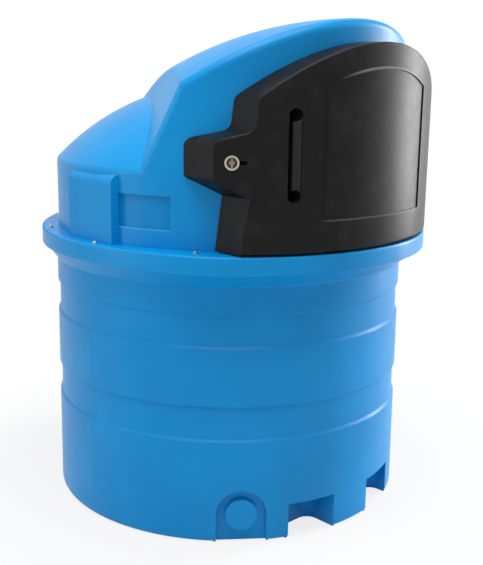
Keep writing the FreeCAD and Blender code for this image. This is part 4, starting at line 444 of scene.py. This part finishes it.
dress(enamel("motor_paint", srgb(30, 58, 110), 0.35), "pump_motor", "pump_head")
dress(enamel("shelf_paint", srgb(172, 176, 180), 0.40), "pump_shelf")
print("enamels mixed")

# %% [markdown]
# ## The clear pieces
# The filter's bowl and the two windows let light through. Their tint and their gloss are constants, and only
# a faint unevenness of the surface varies.

# %% Mix the clear plastics
def clear(name, color, alpha):
    """A glossy piece that lets part of the light through."""
    paint = Paint(name, color, 0.08, IOR=1.45, Alpha=alpha)
    paint.set("Roughness", 0.05 + paint.noise(35.0, 3.0) * 0.08)
    paint.set("Normal", paint.bump(paint.noise(24.0, 1.0), 0.0006, 0.4))
    return paint


dress(clear("clear_bowl", srgb(200, 220, 226), 0.45), "filter_bowl")
dress(clear("display_glass", srgb(96, 110, 96), 0.95), "meter_display", "gauge_window")
print("clear plastics mixed")

# %% [markdown]
# ## The smooth ends of the wide rim
# Under the door the rim is wider than at the back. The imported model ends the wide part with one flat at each
# side. On the moulding it runs out over a long curve. A fair curve is easy to write as a radius that depends
# on the angle, so these pieces are computed and laid over the flats, a fraction of a millimetre proud.

# %% Lay the fair curves over the rim
def smooth(value, low, high):
    """0 below low, 1 above high, and 3t² - 2t³ between."""
    share = np.clip((value - low) / (high - low), 0.0, 1.0)
    return share * share * (3.0 - 2.0 * share)


def six_volumes(points, faces):
    """Six times the signed volume between the origin and faces that all have as many corners."""
    corners = points[faces]
    return np.sum(corners[:, :1] * np.cross(corners[:, 1:-1], corners[:, 2:]))


def swept(name, angles, loop, paint):
    """A closed piece through loops round the tank.

    The loop lists points as a radius and a height, and each is one number or an array over the angles, in
    degrees from the door's middle. At the angle a the point lies at (r sin a, -r cos a, z). Neighbouring
    loops are joined by quads, and each end is closed by one face. The sign of the volume turns them outward.
    """
    radius, height = (np.stack([np.broadcast_to(value, angles.shape) for value in column], axis=-1)
                      for column in zip(*loop))
    turn = np.radians(angles)[:, None]
    points = np.stack([radius * np.sin(turn), -radius * np.cos(turn), height], axis=-1).reshape(-1, 3)
    index = np.arange(len(points)).reshape(radius.shape)
    ahead = np.roll(index, -1, axis=1)
    quads = np.stack([index[:-1], index[1:], ahead[1:], ahead[:-1]], axis=-1).reshape(-1, 4)
    ends = np.stack([index[0], index[-1, ::-1]])
    if six_volumes(points, quads) + six_volumes(points, ends) < 0:
        quads, ends = quads[:, ::-1], ends[:, ::-1]
    mesh = bpy.data.meshes.new(name)
    mesh.from_pydata(points.tolist(), [], quads.tolist() + ends.tolist())
    mesh.shade_smooth()
    mesh.set_sharp_from_angle(angle=math.radians(40))
    mesh.materials.append(paint.material)
    piece = bpy.data.objects.new(name, mesh)
    bpy.context.scene.collection.objects.link(piece)
    return piece


RIM_FOOT, RIM_TOP, RIM_RADIUS, SILL_RADIUS = 1.006, 1.069, 0.750, 0.785
RIM_START, RIM_FULL, RIM_THIN, RIM_END = 40.0, 42.5, 75.5, 78.0  # degrees from the door's middle
RIM_INSIDE, SKIN_INSIDE = 0.747, 0.738
EDGE_ROUND = 0.009
NECK_RADIUS, NECK_HEIGHT, FLARE_TOP = 0.694, 0.945, 1.0054


def edge_radius(angles):
    """The rim's outer radius: the sill's under the door, the plain rim's at the back, fair between."""
    return SILL_RADIUS - (SILL_RADIUS - RIM_RADIUS) * smooth(np.abs(angles), RIM_FULL, 75.0)


def proud(angles):
    """How far a laid piece stands out: 0.6 mm, and 0.4 mm under the skin at its two ends."""
    away = np.abs(angles)
    return 0.0010 * smooth(away, RIM_START, RIM_FULL) * (1.0 - smooth(away, RIM_THIN, RIM_END)) - 0.0004


def rim_loop(angles):
    """The rim's face with its rounded top edge, closed inside the hood's skin."""
    lift = proud(angles)
    out, top, foot = edge_radius(angles) + lift, RIM_TOP + lift, RIM_FOOT - lift
    rounded = [(out - EDGE_ROUND * (1.0 - math.cos(bend)), top - EDGE_ROUND * (1.0 - math.sin(bend)))
               for bend in np.radians(np.linspace(0, 90, 7))]
    inside = [(SKIN_INSIDE, top), (SKIN_INSIDE, RIM_TOP - 0.002), (RIM_INSIDE, RIM_TOP - 0.010)]
    return [(RIM_INSIDE, foot), (out, foot), *rounded, *inside]


def flare_loop(angles):
    """The bund's flare under the rim: a straight slope from its neck to just inside the rim's edge."""
    lift = proud(angles)
    return [(NECK_RADIUS - 0.0035, NECK_HEIGHT + 0.0015), (NECK_RADIUS + lift, NECK_HEIGHT),
            (edge_radius(angles) - EDGE_ROUND + lift, FLARE_TOP), (0.737, FLARE_TOP)]


for side, label in ((-1, "left"), (1, "right")):
    angles = side * np.linspace(RIM_START, RIM_END, 77)
    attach(swept("rim_blend_" + label, angles, rim_loop(angles), hood_blue), "tank")
    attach(swept("flare_blend_" + label, angles, flare_loop(angles), bund_blue), "tank")
print("fair curves laid over the ends of the wide rim")

# %% [markdown]
# ## The bar of the door's handle
# Fingers reach in through the slot and close round a bar between two round pits. The bar follows the door's
# own curve and stays just below its face, so it too is a radius and a height at each angle.

# %% Shape the grip bar
GRIP_SPAN = (25.66, 28.06)  # degrees from the door's middle
DOOR_RADIUS, GRIP_FACE, GRIP_BACK = 0.785, 0.7838, 0.766
BAR_ROUND, BAR_SOFT = 0.003, 0.25


def grip_loop(angles):
    """The bar from pit to pit: its ends follow the pits' circles, and its long edges are rounded.

    At the horizontal place x the pits' circles lie sqrt(R² - x²) above and below their centres. The face
    drops by 3 mm towards each long edge along a quarter circle.
    """
    away = np.abs(angles)
    x = -DOOR_RADIUS * np.sin(np.radians(away)) - GRIP_X
    end = np.sqrt(np.maximum(GRIP_RADIUS ** 2 - x * x, 0.0))
    low, high = GRIP_FOOT + end, GRIP_TOP - end
    near = np.clip(1.0 - np.minimum(away - GRIP_SPAN[0], GRIP_SPAN[1] - away) / BAR_SOFT, 0.0, 1.0)
    face = GRIP_FACE - BAR_ROUND * (1.0 - np.sqrt(1.0 - near * near))
    turns = [(1.0 - math.cos(bend), 1.0 - math.sin(bend)) for bend in np.radians(np.linspace(0, 90, 5))]
    lower = [(face - BAR_ROUND * rise, low + BAR_ROUND * back) for back, rise in turns]
    upper = [(face - BAR_ROUND * back, high - BAR_ROUND * rise) for back, rise in turns]
    return [(GRIP_BACK, low), *lower, *upper, (GRIP_BACK, high)]


bar_angles = -np.linspace(*GRIP_SPAN, 33)
grip_bar = swept("grip_bar", bar_angles, grip_loop(bar_angles),
                 dark_plastic("grip_charcoal", CHARCOAL, 0.38, 520.0, 0.0002))
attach(grip_bar, "door")
print("grip bar in the door's handle")

# %% [markdown]
# ## The studio
# The photograph has a white ground and soft light from above and both sides. A brighter lamp would whiten the
# ground but also wash out the object. Instead the floor and the world look white to the camera, in
# reflections and through clear pieces by way of Light Path, while the light that falls on the object stays
# plain. The floor keeps the object's shadow near its foot, and goes over to white further out.

# %% Lay the floor
def seen(paint):
    """1 for a ray that comes from the camera, from a reflection or through a clear piece."""
    kinds = ("Is Camera Ray", "Is Glossy Ray", "Is Transmission Ray")
    camera_ray, glossy, through = (paint.node("ShaderNodeLightPath", {}, {}, kind) for kind in kinds)
    return (camera_ray + glossy + through).clamp()


FLOOR_NEAR, FLOOR_FAR = 0.8, 1.7  # metres from the tank's middle
FLOOR_GLOW = 0.80                 # share of plain white on the floor close to the tank
ground = Paint("floor_white", (0.8, 0.8, 0.8), 0.9)
east, north = ground.part(0), ground.part(1)
distance = (east * east + north * north).power(0.5)
glow = ground.node("ShaderNodeEmission", {}, {"Color": (1.0, 1.0, 1.0, 1.0), "Strength": 1.0})
share = seen(ground) * (FLOOR_GLOW + distance.step(FLOOR_NEAR, FLOOR_FAR) * (1.0 - FLOOR_GLOW))
ground.put(ground.tree.nodes["Material Output"].inputs["Surface"], ground.node(
    "ShaderNodeMixShader", {}, {0: share, 1: Flow(ground, ground.shader.outputs[0]), 2: glow}))

reach = 30.0
floor_mesh = bpy.data.meshes.new("floor")
floor_mesh.from_pydata([(-reach, -reach, 0), (reach, -reach, 0), (reach, reach, 0), (-reach, reach, 0)], [],
                       [(0, 1, 2, 3)])
floor_mesh.materials.append(ground.material)
floor = bpy.data.objects.new("floor", floor_mesh)
bpy.context.scene.collection.objects.link(floor)
print("floor laid, white beyond", FLOOR_FAR, "m")

# %% [markdown]
# ## The world
# The same mask works for the world: plain white where it is seen, and a dimmer, slightly blue light for the
# rays that only carry light to the object.

# %% Light the world
class Sky(Paint):
    """The world's own nodes, with the same moves as a material."""

    def __init__(self, world):
        world.use_nodes = True
        self.tree = world.node_tree
        self.shader = self.tree.nodes["Background"]


world = bpy.data.worlds.new("studio")
bpy.context.scene.world = world
sky = Sky(world)
white = sky.node("ShaderNodeBackground", {}, {"Color": (1.0, 1.0, 1.0, 1.0), "Strength": 1.0})
sky.set("Color", (0.94, 0.98, 1.0, 1.0))
sky.set("Strength", 0.42)
sky.put(sky.tree.nodes["World Output"].inputs["Surface"], sky.node(
    "ShaderNodeMixShader", {}, {0: seen(sky), 1: Flow(sky, sky.shader.outputs[0]), 2: white}))
print("world light", sky.shader.inputs["Strength"].default_value)

# %% [markdown]
# ## The lamps
# Large lamps close to the object give soft borders between light and shade, as the boxes of a studio do. The
# right one stands level with the door, so that it grazes the curve and leaves the door's middle dark.

# %% Hang the lamps
def lamp(name, place, target, size, power):
    """A soft rectangular lamp at a place, turned to face its target."""
    data = bpy.data.lights.new(name, "AREA")
    data.shape = "RECTANGLE"
    data.size, data.size_y = size
    data.energy = power
    item = bpy.data.objects.new(name, data)
    bpy.context.scene.collection.objects.link(item)
    direction = Vector(target) - Vector(place)
    item.location = place
    item.rotation_euler = direction.to_track_quat("-Z", "Y").to_euler()


lamp("overhead", (-1.0, -0.9, 4.8), (0, 0, 1.2), (3.0, 3.0), 135.0)
lamp("left", (-4.5, 1.6, 2.0), (0, 0, 0.9), (1.2, 3.5), 38.0)
lamp("right", (5.0, -1.9, 2.0), (0, 0, 0.8), (1.2, 3.5), 275.0)
print("three lamps hung")

# %% [markdown]
# ## Close the scene
# A small helper turns a box into lists of plain numbers.

# %% Turn a box into plain numbers
def plain(box):
    """A box as lists of plain numbers."""
    return [[float(value) for value in corner] for corner in box]
